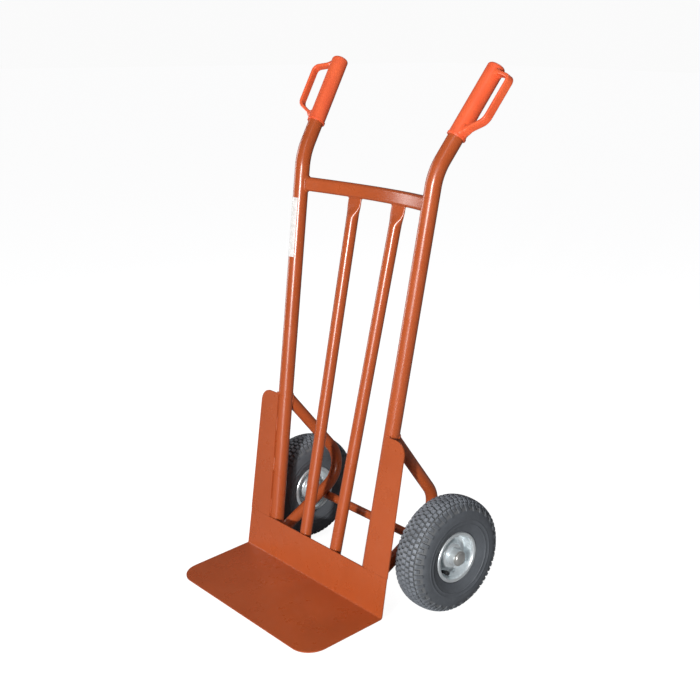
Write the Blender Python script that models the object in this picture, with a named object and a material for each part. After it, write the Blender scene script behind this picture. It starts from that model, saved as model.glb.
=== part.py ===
"""Hand truck: a welded tube frame with a bent toe plate, two pneumatic wheels and two plastic grips.

Metres, +Z up. The toe blade points along -Y and the load leans on the -Y side of the frame. The origin
is on the floor, under the middle of the whole truck. Frame members are placed in the plane of the toe
plate's upright face: up runs along that leaning plane from the fold, behind runs square to it.
"""
import math

import bmesh
import bpy
from mathutils import Vector

GAP = 0.0003

# wheels: 260 x 85 mm pneumatic tyres on pressed steel rims
WHEEL_RADIUS = 0.130
TYRE_HALF_WIDTH = 0.0425
TYRE_MIDDLE_RADIUS = 0.092
TYRE_WALL = 0.0075
TYRE_BEAD_ANGLE = math.radians(-38)
TYRE_SQUARENESS = 0.8
WHEEL_X = 0.244
AXLE_BEHIND_FOLD = 0.1827
AXLE_RADIUS = 0.010

# toe plate, one sheet folded between the blade and the upright strip
BLADE_WIDTH = 0.480
BLADE_DEPTH = 0.200
BLADE_CORNER = 0.048
FOLD_RADIUS = 0.004
SHEET = 0.003
CORNER_STEPS = 8
PRISM_MARGIN = 0.00002
STRIP_HEIGHT = 0.0913
FOLD_Z = 0.023
FOLD_Y = (BLADE_DEPTH - AXLE_BEHIND_FOLD - WHEEL_RADIUS) / 2
LEAN = math.radians(6.75)

# ear plates beside the load
EAR_TOP = 0.388
EAR_CORNER = 0.046
EAR_FLARE = 0.0112
EAR_OUTBOARD = 0.0035

# main rails
RAIL_RADIUS = 0.01685
TUBE_WALL = 0.002
RAIL_BEHIND = SHEET + RAIL_RADIUS + GAP
RAIL_SPACING_FOOT = 0.3233
RAIL_SPLAY = 0.1027
RAIL_FOOT = 0.006
COPE_SIDES = 20
RAIL_KINK = 0.9353
RAIL_BEND_RADIUS = 0.130
HANDLE_DIRECTION = Vector((0.1214, 0.5295, 0.8398)).normalized()
HANDLE_LENGTH = 0.2432

# crossbar between the rails, bowed to the rear
CROSSBAR_UP = 0.8705
CROSSBAR_BOW = 0.0515
CROSSBAR_HEIGHT = 0.031
CROSSBAR_DEPTH = 0.020
FLATTENED = 0.6

# two centre tubes
CENTRE_RADIUS = 0.01345
CENTRE_FOOT_UP = STRIP_HEIGHT - 0.025
CENTRE_FOOT_X = 0.0530
CENTRE_TOP_X = 0.0698
CENTRE_FLAT_LENGTH = 0.052
CENTRE_FLAT_HALF_WIDTH = 0.0205
CENTRE_FLAT_HALF_DEPTH = 0.0036

# wheel brackets, bent tubes behind the rails
BRACKET_RADIUS = 0.01345
BRACKET_TOP_UP = 0.387
BRACKET_TOP_OFFSET = 0.003
BRACKET_KNEE_X = 0.1617
BRACKET_KNEE_BEHIND = 0.2442
BRACKET_KNEE_Z = 0.1961
BRACKET_FOOT_UP = 0.0395
BRACKET_BEND_RADIUS = 0.0664

# grips
GRIP_RADIUS = 0.0188
GRIP_WALL = 0.0017
GRIP_LENGTH = 0.1644
GRIP_COLLAR_RADIUS = 0.0203
GRIP_COLLAR_HEIGHT = 0.006
GRIP_END_THICKNESS = 0.004
GRIP_ROUNDING = 0.008
GRIP_SHOULDER = 0.0065
GUARD_OUT = 0.0631
GUARD_LOW = 0.020
GUARD_LOW_CORNER = 0.044
GUARD_HIGH_CORNER = 0.140
GUARD_HIGH = 0.150
GUARD_STUB = 0.006
GUARD_BEND_RADIUS = 0.014
GUARD_HALF_WIDTH = 0.0066
GUARD_HALF_THICKNESS = 0.0036
GUARD_TURN = math.radians(9)

# rim, hub and the parts on the axle; distances along the axle are from the wheel's middle, outwards
RIM_LIP_RADIUS = 0.0575
RIM_SEAT_RADIUS = 0.0505
RIM_SHEET = 0.0018
RIM_HALF_WIDTH = 0.0315
BOSS_RADIUS = 0.029
BOSS_OUT = 0.020
HUB_RADIUS = 0.0180
HUB_BORE_RADIUS = 0.0160
HUB_HALF_LENGTH = 0.038
BEARING_WIDTH = 0.009
BEARING_INSET = 0.001
BEARING_RACE = 0.0018
AXLE_CLEARANCE = 0.0001
AXLE_SIDES = 24
WASHER_RADIUS = 0.0165
WASHER_THICKNESS = 0.0016
AXLE_END_OUT = 0.0435
CAP_RADIUS = 0.0140
CAP_SHEET = 0.001
CAP_HEIGHT = 0.006
COLLAR_RADIUS = 0.0155
COLLAR_WIDTH = 0.008
INNER_TUBE_RADIUS = 0.0262
INNER_TUBE_BORE_SHARE = 0.88
INNER_TUBE_RING = 0.0920
VALVE_RADIUS = 0.0036
VALVE_BORE_RADIUS = 0.0014
VALVE_OUT = 0.014
VALVE_ROOT = 0.018
VALVE_END_OUT = 0.029
VALVE_HOLE_DEPTH = 0.007
VALVE_BEND_AT = 0.040
VALVE_BEND_RADIUS = 0.006
VALVE_ANGLE = math.radians(231)
VALVE_CAP_RADIUS = 0.0049
VALVE_CAP_LENGTH = 0.009

# sheet and tube paint, grips, bright zinc plating, tyres and the rubber of tubes and valves
PAINT = (0.42, 0.105, 0.035)
GRIP_COLOUR = (0.85, 0.12, 0.04)
ZINC = (0.62, 0.66, 0.68)
TYRE_COLOUR = (0.09, 0.10, 0.11)
TUBE_COLOUR = (0.03, 0.03, 0.03)
SHARP_ANGLE = math.radians(35)
SIDES = (("left", -1), ("right", 1))


def clear_scene():
    for old in list(bpy.data.objects):
        bpy.data.objects.remove(old, do_unlink=True)


def material(name, colour, roughness, metallic=0.0):
    finish = bpy.data.materials.new(name)
    finish.use_nodes = True
    shader = finish.node_tree.nodes["Principled BSDF"]
    shader.inputs["Base Color"].default_value = (*colour, 1)
    shader.inputs["Roughness"].default_value = roughness
    shader.inputs["Metallic"].default_value = metallic
    return finish


def add_object(name, shape, colour, roughness, metallic=0.0):
    """Turn a bmesh into a named object with its own material and smooth round faces."""
    bmesh.ops.recalc_face_normals(shape, faces=shape.faces)
    mesh = bpy.data.meshes.new(name)
    shape.to_mesh(mesh)
    shape.free()
    mesh.shade_smooth()
    mesh.set_sharp_from_angle(angle=SHARP_ANGLE)
    piece = bpy.data.objects.new(name, mesh)
    piece.data.materials.append(material(name, colour, roughness, metallic))
    bpy.context.collection.objects.link(piece)
    return piece


def boolean(piece, shape, operation):
    """Cut or join a second shape, kept as a wire guide."""
    bmesh.ops.recalc_face_normals(shape, faces=shape.faces)
    mesh = bpy.data.meshes.new(piece.name + "_guide")
    shape.to_mesh(mesh)
    shape.free()
    guide = bpy.data.objects.new(mesh.name, mesh)
    guide.hide_render = True
    guide.display_type = "WIRE"
    bpy.context.collection.objects.link(guide)
    guide.matrix_world = piece.matrix_world
    step = piece.modifiers.new(operation.lower(), "BOOLEAN")
    step.operation = operation
    step.solver = "EXACT"
    step.object = guide


def on_frame(x, up, behind):
    """A point given by its place along and behind the leaning upright face."""
    y = FOLD_Y + up * math.sin(LEAN) + behind * math.cos(LEAN)
    z = FOLD_Z + up * math.cos(LEAN) - behind * math.sin(LEAN)
    return Vector((x, y, z))


def rail_x(up):
    return (RAIL_SPACING_FOOT + RAIL_SPLAY * up) / 2


def rail_point(side, up):
    return on_frame(side * rail_x(up), up, RAIL_BEHIND)


def rounded_path(points, radius, steps):
    """The points joined by straight runs, with each inner corner turned into an arc."""
    path = [points[0]]
    for before, corner, after in zip(points, points[1:], points[2:]):
        back = (before - corner).normalized()
        ahead = (after - corner).normalized()
        half = back.angle(ahead) / 2
        reach = radius / math.tan(half)
        centre = corner + (back + ahead).normalized() * (radius / math.sin(half))
        start = corner + back * reach - centre
        end = corner + ahead * reach - centre
        turn = start.angle(end)
        for step in range(steps + 1):
            share = step / steps
            first = start * (math.sin((1 - share) * turn) / math.sin(turn))
            second = end * (math.sin(share * turn) / math.sin(turn))
            path.append(centre + first + second)
    path.append(points[-1])
    return path


def oval(half_side, half_depth, sides, squareness=1.0):
    """Section points; squareness below 1 flattens the faces of the oval."""
    section = []
    for step in range(sides):
        angle = 2 * math.pi * (step + 0.5) / sides
        across = math.copysign(abs(math.cos(angle)) ** squareness, math.cos(angle))
        along = math.copysign(abs(math.sin(angle)) ** squareness, math.sin(angle))
        section.append((half_side * across, half_depth * along))
    return section


def sweep(path, side_hint, section_at, shape=None):
    """Carry one or two section loops along a path; two loops make a hollow tube with open ends."""
    shape = shape or bmesh.new()
    loops = []
    last = len(path) - 1
    for index, point in enumerate(path):
        ahead = (path[min(index + 1, last)] - path[max(index - 1, 0)]).normalized()
        side = (side_hint - ahead * side_hint.dot(ahead)).normalized()
        depth = ahead.cross(side)
        rings = []
        for section in section_at(index / last):
            rings.append([shape.verts.new(point + side * a + depth * b) for a, b in section])
        loops.append(rings)
    count = len(loops[0][0])
    for rings, next_rings in zip(loops, loops[1:]):
        for ring, next_ring in zip(rings, next_rings):
            for k in range(count):
                n = (k + 1) % count
                shape.faces.new((ring[k], ring[n], next_ring[n], next_ring[k]))
    for rings in (loops[0], loops[-1]):
        if len(rings) == 1:
            shape.faces.new(rings[0])
            continue
        for k in range(count):
            n = (k + 1) % count
            shape.faces.new((rings[0][k], rings[0][n], rings[1][n], rings[1][k]))
    return shape


def tube(path, radius, wall, sides, side_hint=Vector((1, 0, 0))):
    outer = oval(radius, radius, sides)
    inner = oval(radius - wall, radius - wall, sides)
    return sweep(path, side_hint, lambda share: (outer, inner))


def rod(start, end, radius, sides):
    section = oval(radius, radius, sides)
    hint = Vector((0, 0, 1)) if abs((end - start).normalized().z) < 0.9 else Vector((1, 0, 0))
    return sweep([start, end], hint, lambda share: (section,))


def turned(profile, origin, axis, segments):
    """Turn a closed outline of (distance along the axis, radius) points about the axis."""
    axis = axis.normalized()
    hint = Vector((0, 0, 1)) if abs(axis.z) < 0.9 else Vector((1, 0, 0))
    side = (hint - axis * hint.dot(axis)).normalized()
    depth = axis.cross(side)
    shape = bmesh.new()
    rings = []
    for along, radius in profile:
        centre = origin + axis * along
        if radius == 0:
            rings.append([shape.verts.new(centre)] * segments)
            continue
        ring = []
        for step in range(segments):
            angle = 2 * math.pi * step / segments
            spoke = side * math.cos(angle) + depth * math.sin(angle)
            ring.append(shape.verts.new(centre + radius * spoke))
        rings.append(ring)
    for ring, next_ring in zip(rings, rings[1:] + rings[:1]):
        for k in range(segments):
            n = (k + 1) % segments
            corners = list(dict.fromkeys((ring[k], ring[n], next_ring[n], next_ring[k])))
            if len(corners) > 2:
                shape.faces.new(corners)
    return shape


def plate(outline, place):
    """A sheet cut to an outline of (x, up) points; place gives the point at a depth into the sheet."""
    shape = bmesh.new()
    front = [shape.verts.new(place(x, up, 0)) for x, up in outline]
    back = [shape.verts.new(place(x, up, SHEET)) for x, up in outline]
    shape.faces.new(front)
    shape.faces.new(back)
    for k in range(len(outline)):
        n = (k + 1) % len(outline)
        shape.faces.new((front[k], front[n], back[n], back[k]))
    return shape


def make_toe_plate():
    """Side profile of the folded sheet, drawn out across the truck, then trimmed at its front corners."""
    upright = Vector((0, math.sin(LEAN), math.cos(LEAN)))
    slope = math.atan2(FOLD_Z, BLADE_DEPTH)
    forward = Vector((0, -math.cos(slope), -math.sin(slope)))
    fold = Vector((0, FOLD_Y, FOLD_Z))
    blade_end = fold + Vector((0, -BLADE_DEPTH, -FOLD_Z))
    blade_up = Vector((0, -math.sin(slope), math.cos(slope)))
    strip_back = Vector((0, math.cos(LEAN), -math.sin(LEAN)))
    # the outer side of the fold is the strip's back and the blade's underside
    strip_foot = fold + strip_back * SHEET
    meet = lines_meet(strip_foot, upright, fold, forward)
    outer = rounded_path([fold + strip_back * SHEET + upright * STRIP_HEIGHT, meet, blade_end],
                         FOLD_RADIUS + SHEET, 5)
    inner_meet = lines_meet(fold, upright, fold + blade_up * SHEET, forward)
    inner = rounded_path([fold + upright * STRIP_HEIGHT, inner_meet, blade_end + blade_up * SHEET],
                         FOLD_RADIUS, 5)
    section = outer + inner[::-1]
    shape = bmesh.new()
    half = Vector((BLADE_WIDTH / 2, 0, 0))
    left = [shape.verts.new(point - half) for point in section]
    right = [shape.verts.new(point + half) for point in section]
    shape.faces.new(left)
    shape.faces.new(right)
    for k in range(len(section)):
        n = (k + 1) % len(section)
        shape.faces.new((left[k], left[n], right[n], right[k]))
    toe_plate = add_object("toe_plate", shape, PAINT, 0.35)
    boolean(toe_plate, front_corner_prism(), "INTERSECT")


def lines_meet(point_a, along_a, point_b, along_b):
    """Where two lines in the truck's side view cross."""
    spread = point_b - point_a
    bottom = along_a.y * along_b.z - along_a.z * along_b.y
    reach = (spread.y * along_b.z - spread.z * along_b.y) / bottom
    return point_a + along_a * reach


def front_corner_prism():
    """A tall block round the plate; its two front corners are rounded to the blade's radius."""
    front = FOLD_Y - BLADE_DEPTH + PRISM_MARGIN
    rear = FOLD_Y + STRIP_HEIGHT
    half = BLADE_WIDTH / 2 - PRISM_MARGIN
    outline = [(half, rear), (-half, rear)]
    for middle_x, start in ((-half + BLADE_CORNER, math.pi), (half - BLADE_CORNER, 1.5 * math.pi)):
        for step in range(CORNER_STEPS + 1):
            angle = start + 0.5 * math.pi * step / CORNER_STEPS
            outline.append((middle_x + BLADE_CORNER * math.cos(angle),
                            front + BLADE_CORNER * (1 + math.sin(angle))))
    shape = bmesh.new()
    low = [shape.verts.new((x, y, -BLADE_DEPTH)) for x, y in outline]
    high = [shape.verts.new((x, y, BLADE_DEPTH)) for x, y in outline]
    shape.faces.new(low)
    shape.faces.new(high)
    for k in range(len(outline)):
        n = (k + 1) % len(outline)
        shape.faces.new((low[k], low[n], high[n], high[k]))
    return shape


def make_ears():
    """Upright plates that carry the strip's line on up beside the load, one in front of each rail."""
    foot = STRIP_HEIGHT + GAP
    for label, side in SIDES:
        outer_top = BLADE_WIDTH / 2 + EAR_FLARE * EAR_TOP
        outline = [(side * (rail_x(foot) + EAR_OUTBOARD), foot),
                   (side * (BLADE_WIDTH / 2 + EAR_FLARE * foot), foot)]
        for step in range(CORNER_STEPS + 1):
            angle = 0.5 * math.pi * step / CORNER_STEPS
            x = outer_top - EAR_CORNER + EAR_CORNER * math.cos(angle)
            outline.append((side * x, EAR_TOP - EAR_CORNER + EAR_CORNER * math.sin(angle)))
        outline.append((side * (rail_x(EAR_TOP) + EAR_OUTBOARD), EAR_TOP))
        add_object(label + "_ear_plate", plate(outline, on_frame), PAINT, 0.35)


def kink_point(side):
    return rail_point(side, RAIL_KINK)


def handle_direction(side):
    return Vector((side * HANDLE_DIRECTION.x, HANDLE_DIRECTION.y, HANDLE_DIRECTION.z))


def make_rails():
    """Round tubes, splayed towards the top, bent back and outwards into the handles."""
    for label, side in SIDES:
        tip = kink_point(side) + handle_direction(side) * (HANDLE_LENGTH - 1.5 * GRIP_END_THICKNESS)
        path = rounded_path([rail_point(side, RAIL_FOOT), kink_point(side), tip], RAIL_BEND_RADIUS, 6)
        add_object(label + "_rail", tube(path, RAIL_RADIUS, TUBE_WALL, 16), PAINT, 0.3)


def rail_clearance(side):
    """A rod a hair thicker than the rail, used to cope what is welded to it."""
    return rod(rail_point(side, -RAIL_RADIUS), rail_point(side, RAIL_KINK), RAIL_RADIUS + GAP, COPE_SIDES)


def make_crossbar():
    """A flattened tube bowed to the rear, its ends coped round the rails."""
    half = rail_x(CROSSBAR_UP)
    path = []
    for step in range(11):
        share = 2 * step / 10 - 1
        path.append(on_frame(share * half, CROSSBAR_UP, RAIL_BEHIND + CROSSBAR_BOW * (1 - share * share)))
    outer = oval(CROSSBAR_HEIGHT / 2, CROSSBAR_DEPTH / 2, 12, FLATTENED)
    inner = oval(CROSSBAR_HEIGHT / 2 - TUBE_WALL, CROSSBAR_DEPTH / 2 - TUBE_WALL, 12, FLATTENED)
    upright = Vector((0, math.sin(LEAN), math.cos(LEAN)))
    crossbar = add_object("crossbar", sweep(path, upright, lambda share: (outer, inner)), PAINT, 0.32)
    for side in (-1, 1):
        boolean(crossbar, rail_clearance(side), "DIFFERENCE")


def make_centre_tubes():
    """Tubes from behind the strip up to the crossbar's underside, pressed flat at their top ends."""
    top_up = CROSSBAR_UP - CROSSBAR_HEIGHT / 2 - 2 * GAP
    flat_share = CENTRE_FLAT_LENGTH / (top_up - CENTRE_FOOT_UP)
    half = rail_x(CROSSBAR_UP)
    top_behind = RAIL_BEHIND + CROSSBAR_BOW * (1 - (CENTRE_TOP_X / half) ** 2)
    stations = [0, 0.5] + [1 - flat_share * share for share in (1.0, 0.8, 0.6, 0.4, 0)]

    def section_at(share):
        down = min(1.0, (1 - share) / flat_share)
        press = 0.5 + 0.5 * math.cos(math.pi * max(0.0, (down - 0.25) / 0.75))
        wide = CENTRE_RADIUS + (CENTRE_FLAT_HALF_WIDTH - CENTRE_RADIUS) * press
        deep = CENTRE_RADIUS + (CENTRE_FLAT_HALF_DEPTH - CENTRE_RADIUS) * press
        return (oval(wide, deep, 14), oval(wide - TUBE_WALL, deep - TUBE_WALL, 14))

    for label, side in SIDES:
        foot = on_frame(side * CENTRE_FOOT_X, CENTRE_FOOT_UP, SHEET + CENTRE_RADIUS + 2 * GAP)
        top = on_frame(side * CENTRE_TOP_X, top_up, top_behind)
        path = [foot.lerp(top, share) for share in stations]
        last = len(stations) - 1
        shape = sweep(path, Vector((1, 0, 0)), lambda share: section_at(stations[round(share * last)]))
        add_object(label + "_centre_tube", shape, PAINT, 0.3)


def make_brackets():
    """Bent tubes that hold the axle behind the rails, coped to the rails at both ends."""
    for label, side in SIDES:
        top = rail_point(side, BRACKET_TOP_UP) + Vector((side * BRACKET_TOP_OFFSET, 0, 0))
        knee = Vector((side * BRACKET_KNEE_X, FOLD_Y + BRACKET_KNEE_BEHIND, BRACKET_KNEE_Z))
        foot = rail_point(side, BRACKET_FOOT_UP)
        shape = tube(rounded_path([top, knee, foot], BRACKET_BEND_RADIUS, 6), BRACKET_RADIUS, TUBE_WALL, 12)
        bracket = add_object(label + "_wheel_bracket", shape, PAINT, 0.3)
        boolean(bracket, rail_clearance(side), "DIFFERENCE")


def axle_centre():
    return Vector((0, FOLD_Y + AXLE_BEHIND_FOLD, WHEEL_RADIUS))


def make_axle():
    """A plain round bar under the brackets' lower legs, right through both hubs."""
    reach = Vector((WHEEL_X + AXLE_END_OUT, 0, 0))
    bar = rod(axle_centre() - reach, axle_centre() + reach, AXLE_RADIUS, AXLE_SIDES)
    add_object("axle", bar, PAINT, 0.35)


def make_grips():
    """Closed sleeves with a collar at the lower end and a knuckle guard on the outer side."""
    for label, side in SIDES:
        ahead = handle_direction(side)
        base = kink_point(side) + ahead * (HANDLE_LENGTH - GRIP_LENGTH)
        bore = RAIL_RADIUS + GAP
        profile = [(0, bore), (0, GRIP_COLLAR_RADIUS), (GRIP_COLLAR_HEIGHT, GRIP_COLLAR_RADIUS),
                   (GRIP_COLLAR_HEIGHT + GRIP_WALL, GRIP_RADIUS)]
        for step in range(5):
            angle = 0.5 * math.pi * step / 4
            radius = GRIP_RADIUS - GRIP_ROUNDING * (1 - math.cos(angle))
            profile.append((GRIP_LENGTH - GRIP_ROUNDING + GRIP_SHOULDER * math.sin(angle), radius))
        profile += [(GRIP_LENGTH, 0), (GRIP_LENGTH - GRIP_END_THICKNESS, 0),
                    (GRIP_LENGTH - GRIP_END_THICKNESS, bore)]
        sleeve = add_object(label + "_grip", turned(profile, base, ahead, 18), GRIP_COLOUR, 0.4)
        boolean(sleeve, guard_shape(side, base, ahead), "UNION")


def guard_shape(side, base, ahead):
    """A flat strap from near the grip's end, out over the knuckles and back above the collar."""
    outward = Vector((side, 0, 0))
    outward = (outward - ahead * outward.dot(ahead)).normalized()
    square = ahead.cross(outward) * -side
    out = outward * math.cos(GUARD_TURN) + square * math.sin(GUARD_TURN)
    root = GRIP_RADIUS - 0.6 * GRIP_WALL
    stub = GRIP_RADIUS + GUARD_STUB
    corners = [(GUARD_LOW, root), (GUARD_LOW, stub), (GUARD_LOW_CORNER, GUARD_OUT),
               (GUARD_HIGH_CORNER, GUARD_OUT), (GUARD_HIGH, stub), (GUARD_HIGH, root)]
    points = [base + ahead * along + out * off for along, off in corners]
    path = rounded_path(points[1:5], GUARD_BEND_RADIUS, 4)
    path = [points[0]] + path + [points[5]]
    section = oval(GUARD_HALF_WIDTH, GUARD_HALF_THICKNESS, 8, FLATTENED)
    return sweep(path, ahead.cross(out), lambda share: (section,))


def tyre_outline():
    """Half-open tyre section: bead, sidewall, crown and the same again inside."""
    outer = []
    for step in range(11):
        angle = TYRE_BEAD_ANGLE + (math.pi - 2 * TYRE_BEAD_ANGLE) * step / 10
        outer.append(squared_oval(angle, TYRE_HALF_WIDTH, WHEEL_RADIUS - TYRE_MIDDLE_RADIUS))
    inner = []
    for step in range(7):
        angle = TYRE_BEAD_ANGLE + (math.pi - 2 * TYRE_BEAD_ANGLE) * step / 6
        inner.append(squared_oval(angle, TYRE_HALF_WIDTH - TYRE_WALL,
                                  WHEEL_RADIUS - TYRE_MIDDLE_RADIUS - TYRE_WALL))
    bead_out = RIM_HALF_WIDTH - RIM_SHEET - GAP
    bead_in = bead_out - TYRE_WALL
    lip = RIM_LIP_RADIUS + RIM_SHEET / 2
    seat = RIM_SEAT_RADIUS + GAP
    outline = [(bead_out, seat), (bead_out, lip)] + outer
    outline += [(-bead_out, lip), (-bead_out, seat), (-bead_in, seat)]
    return outline + inner[::-1] + [(bead_in, seat)]


def squared_oval(angle, half_width, half_height):
    across = math.copysign(abs(math.cos(angle)) ** TYRE_SQUARENESS, math.cos(angle))
    rise = math.copysign(abs(math.sin(angle)) ** TYRE_SQUARENESS, math.sin(angle))
    return (half_width * across, TYRE_MIDDLE_RADIUS + half_height * rise)


def rim_outline():
    """One pressed half: rolled lip, bead seat, web at the wheel's middle and a raised boss."""
    face = [(RIM_HALF_WIDTH + 0.0015, RIM_LIP_RADIUS), (RIM_HALF_WIDTH, RIM_SEAT_RADIUS - RIM_SHEET),
            (0.005, RIM_SEAT_RADIUS - RIM_SHEET), (GAP / 2 + RIM_SHEET, RIM_SEAT_RADIUS - 0.006),
            (GAP / 2 + RIM_SHEET, BOSS_RADIUS + 0.003), (BOSS_OUT, BOSS_RADIUS - 0.002),
            (BOSS_OUT, HUB_RADIUS + GAP)]
    back = [(BOSS_OUT - RIM_SHEET, HUB_RADIUS + GAP), (BOSS_OUT - RIM_SHEET, BOSS_RADIUS - 0.0035),
            (GAP / 2, BOSS_RADIUS + 0.0015), (GAP / 2, RIM_SEAT_RADIUS - 0.004), (0.004, RIM_SEAT_RADIUS),
            (RIM_HALF_WIDTH - RIM_SHEET, RIM_SEAT_RADIUS), (RIM_HALF_WIDTH - RIM_SHEET, RIM_LIP_RADIUS)]
    return face + back


def ring_outline(start, end, inner_radius, outer_radius):
    return [(start, inner_radius), (start, outer_radius), (end, outer_radius), (end, inner_radius)]


def bearing_outline(start):
    """Roller bearing as one ring, sunk a little between its races."""
    bore = AXLE_RADIUS + AXLE_CLEARANCE
    outer = HUB_BORE_RADIUS - GAP
    end = start + BEARING_WIDTH
    dip = BEARING_RACE / 2
    return [(start, bore), (start + dip, bore + BEARING_RACE), (start + dip, outer - BEARING_RACE),
            (start, outer), (end, outer), (end - dip, outer - BEARING_RACE),
            (end - dip, bore + BEARING_RACE), (end, bore)]


def cap_outline(start):
    """Domed cap pushed on the axle's end; open towards the wheel."""
    bore = AXLE_RADIUS + GAP
    return [(start, bore), (start, CAP_RADIUS), (start + 0.3 * CAP_HEIGHT, CAP_RADIUS - 0.0006),
            (start + 0.7 * CAP_HEIGHT, 0.75 * CAP_RADIUS), (start + CAP_HEIGHT, 0),
            (start + CAP_HEIGHT - CAP_SHEET, 0), (start + 0.6 * CAP_HEIGHT, bore)]


def valve_direction():
    return Vector((0, math.cos(VALVE_ANGLE), math.sin(VALVE_ANGLE)))


def make_inner_tube(label, centre, out):
    """Hollow ring with a bent valve stem whose bore opens into it."""
    round_section = oval(INNER_TUBE_RADIUS, INNER_TUBE_RADIUS, 8)
    ring = [(x, INNER_TUBE_RING + y) for x, y in round_section]
    share = INNER_TUBE_BORE_SHARE
    hollow = [(x * share, INNER_TUBE_RING + y * share) for x, y in round_section]
    tyre_tube = add_object(label + "_inner_tube", turned(ring, centre, out, 20), TUBE_COLOUR, 0.7)
    way = valve_direction()
    stem = [centre + out * VALVE_OUT + way * (INNER_TUBE_RING - VALVE_ROOT),
            centre + out * VALVE_OUT + way * VALVE_BEND_AT,
            centre + out * VALVE_END_OUT + way * VALVE_BEND_AT]
    section = oval(VALVE_RADIUS, VALVE_RADIUS, 8)
    stem_path = rounded_path(stem, VALVE_BEND_RADIUS, 3)
    boolean(tyre_tube, sweep(stem_path, out.cross(way), lambda share: (section,)), "UNION")
    boolean(tyre_tube, turned(hollow, centre, out, 20), "DIFFERENCE")
    bore = oval(VALVE_BORE_RADIUS, VALVE_BORE_RADIUS, 6)
    bore_path = stem_path[:-1] + [stem[2] + out * VALVE_RADIUS]
    boolean(tyre_tube, sweep(bore_path, out.cross(way), lambda share: (bore,)), "DIFFERENCE")


def make_valve_cap(label, centre, out):
    start = VALVE_END_OUT - 0.6 * VALVE_CAP_LENGTH
    bore = VALVE_RADIUS + GAP
    outline = [(0, bore), (0, VALVE_CAP_RADIUS), (VALVE_CAP_LENGTH, VALVE_CAP_RADIUS),
               (VALVE_CAP_LENGTH, 0), (0.75 * VALVE_CAP_LENGTH, 0), (0.75 * VALVE_CAP_LENGTH, bore)]
    origin = centre + out * start + valve_direction() * VALVE_BEND_AT
    add_object(label + "_valve_cap", turned(outline, origin, out, 10), TUBE_COLOUR, 0.5)


def make_wheel(label, side):
    """Tyre, tube, two rim halves, hub tube and bearings, turned about the axle."""
    out = Vector((side, 0, 0))
    centre = axle_centre() + out * WHEEL_X
    add_object(label + "_tyre", turned(tyre_outline(), centre, out, 32), TYRE_COLOUR, 0.8)
    make_inner_tube(label, centre, out)
    make_valve_cap(label, centre, out)
    outer_shape = turned(rim_outline(), centre, out, 24)
    outer_half = add_object(label + "_rim_outer_half", outer_shape, ZINC, 0.3, 1.0)
    add_object(label + "_rim_inner_half", turned(rim_outline(), centre, -out, 24), ZINC, 0.3, 1.0)
    hole_at = centre + out * VALVE_OUT
    hole = rod(hole_at + valve_direction() * (RIM_SEAT_RADIUS - VALVE_HOLE_DEPTH),
               hole_at + valve_direction() * (RIM_SEAT_RADIUS + VALVE_HOLE_DEPTH), VALVE_RADIUS + GAP, 12)
    boolean(outer_half, hole, "DIFFERENCE")
    hub = ring_outline(-HUB_HALF_LENGTH, HUB_HALF_LENGTH, HUB_BORE_RADIUS, HUB_RADIUS)
    add_object(label + "_hub_tube", turned(hub, centre, out, 24), ZINC, 0.35, 1.0)
    far = HUB_HALF_LENGTH - BEARING_INSET
    for place, start in (("inner", -far), ("outer", far - BEARING_WIDTH)):
        bearing = turned(bearing_outline(start), centre, out, AXLE_SIDES)
        add_object(label + "_" + place + "_bearing", bearing, ZINC, 0.3, 1.0)


def make_axle_fittings(label, side):
    """Washers on both sides of the hub, a stop collar inboard and a push-on cap outboard."""
    out = Vector((side, 0, 0))
    centre = axle_centre() + out * WHEEL_X
    bore = AXLE_RADIUS + GAP
    outer = HUB_HALF_LENGTH + GAP
    inner = -HUB_HALF_LENGTH - GAP - WASHER_THICKNESS
    for place, start in (("outer", outer), ("inner", inner)):
        ring = ring_outline(start, start + WASHER_THICKNESS, bore, WASHER_RADIUS)
        add_object(label + "_" + place + "_washer", turned(ring, centre, out, 16), ZINC, 0.35, 1.0)
    collar_end = inner - GAP
    collar = ring_outline(collar_end - COLLAR_WIDTH, collar_end, bore, COLLAR_RADIUS)
    add_object(label + "_axle_collar", turned(collar, centre, out, 16), PAINT, 0.35)
    cap = cap_outline(outer + WASHER_THICKNESS + GAP)
    add_object(label + "_axle_cap", turned(cap, centre, out, 16), ZINC, 0.25, 1.0)


def build():
    clear_scene()
    make_toe_plate()
    make_ears()
    make_rails()
    make_crossbar()
    make_centre_tubes()
    make_brackets()
    make_axle()
    make_grips()
    for label, side in SIDES:
        make_wheel(label, side)
        make_axle_fittings(label, side)


build()
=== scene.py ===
"""Hand truck, dressed: painted tube frame, treaded pneumatic tyres, zinc rims and moulded grips.

Everything is in metres in the same frame as the CAD. Left is -X and right is +X. "up" runs along the
leaning plane of the toe plate's upright face and "behind" runs square to it, away from the load.
"""
import math
import random

import bmesh
import bpy
import numpy as np
from mathutils import Matrix, Vector


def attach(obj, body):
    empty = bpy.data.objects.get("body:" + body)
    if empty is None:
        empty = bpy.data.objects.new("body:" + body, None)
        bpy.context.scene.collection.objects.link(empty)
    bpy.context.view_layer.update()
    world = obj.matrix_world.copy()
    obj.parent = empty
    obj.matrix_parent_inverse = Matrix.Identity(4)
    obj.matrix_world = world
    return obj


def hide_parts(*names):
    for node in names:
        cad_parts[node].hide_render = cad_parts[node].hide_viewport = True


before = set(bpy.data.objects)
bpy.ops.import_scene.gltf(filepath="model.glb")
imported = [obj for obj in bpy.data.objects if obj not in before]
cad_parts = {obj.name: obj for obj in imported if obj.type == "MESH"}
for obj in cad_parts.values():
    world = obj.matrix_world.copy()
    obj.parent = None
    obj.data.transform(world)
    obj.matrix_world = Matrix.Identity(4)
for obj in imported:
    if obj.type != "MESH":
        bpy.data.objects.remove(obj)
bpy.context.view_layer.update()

SIDES = (("left", -1), ("right", 1))

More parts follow.
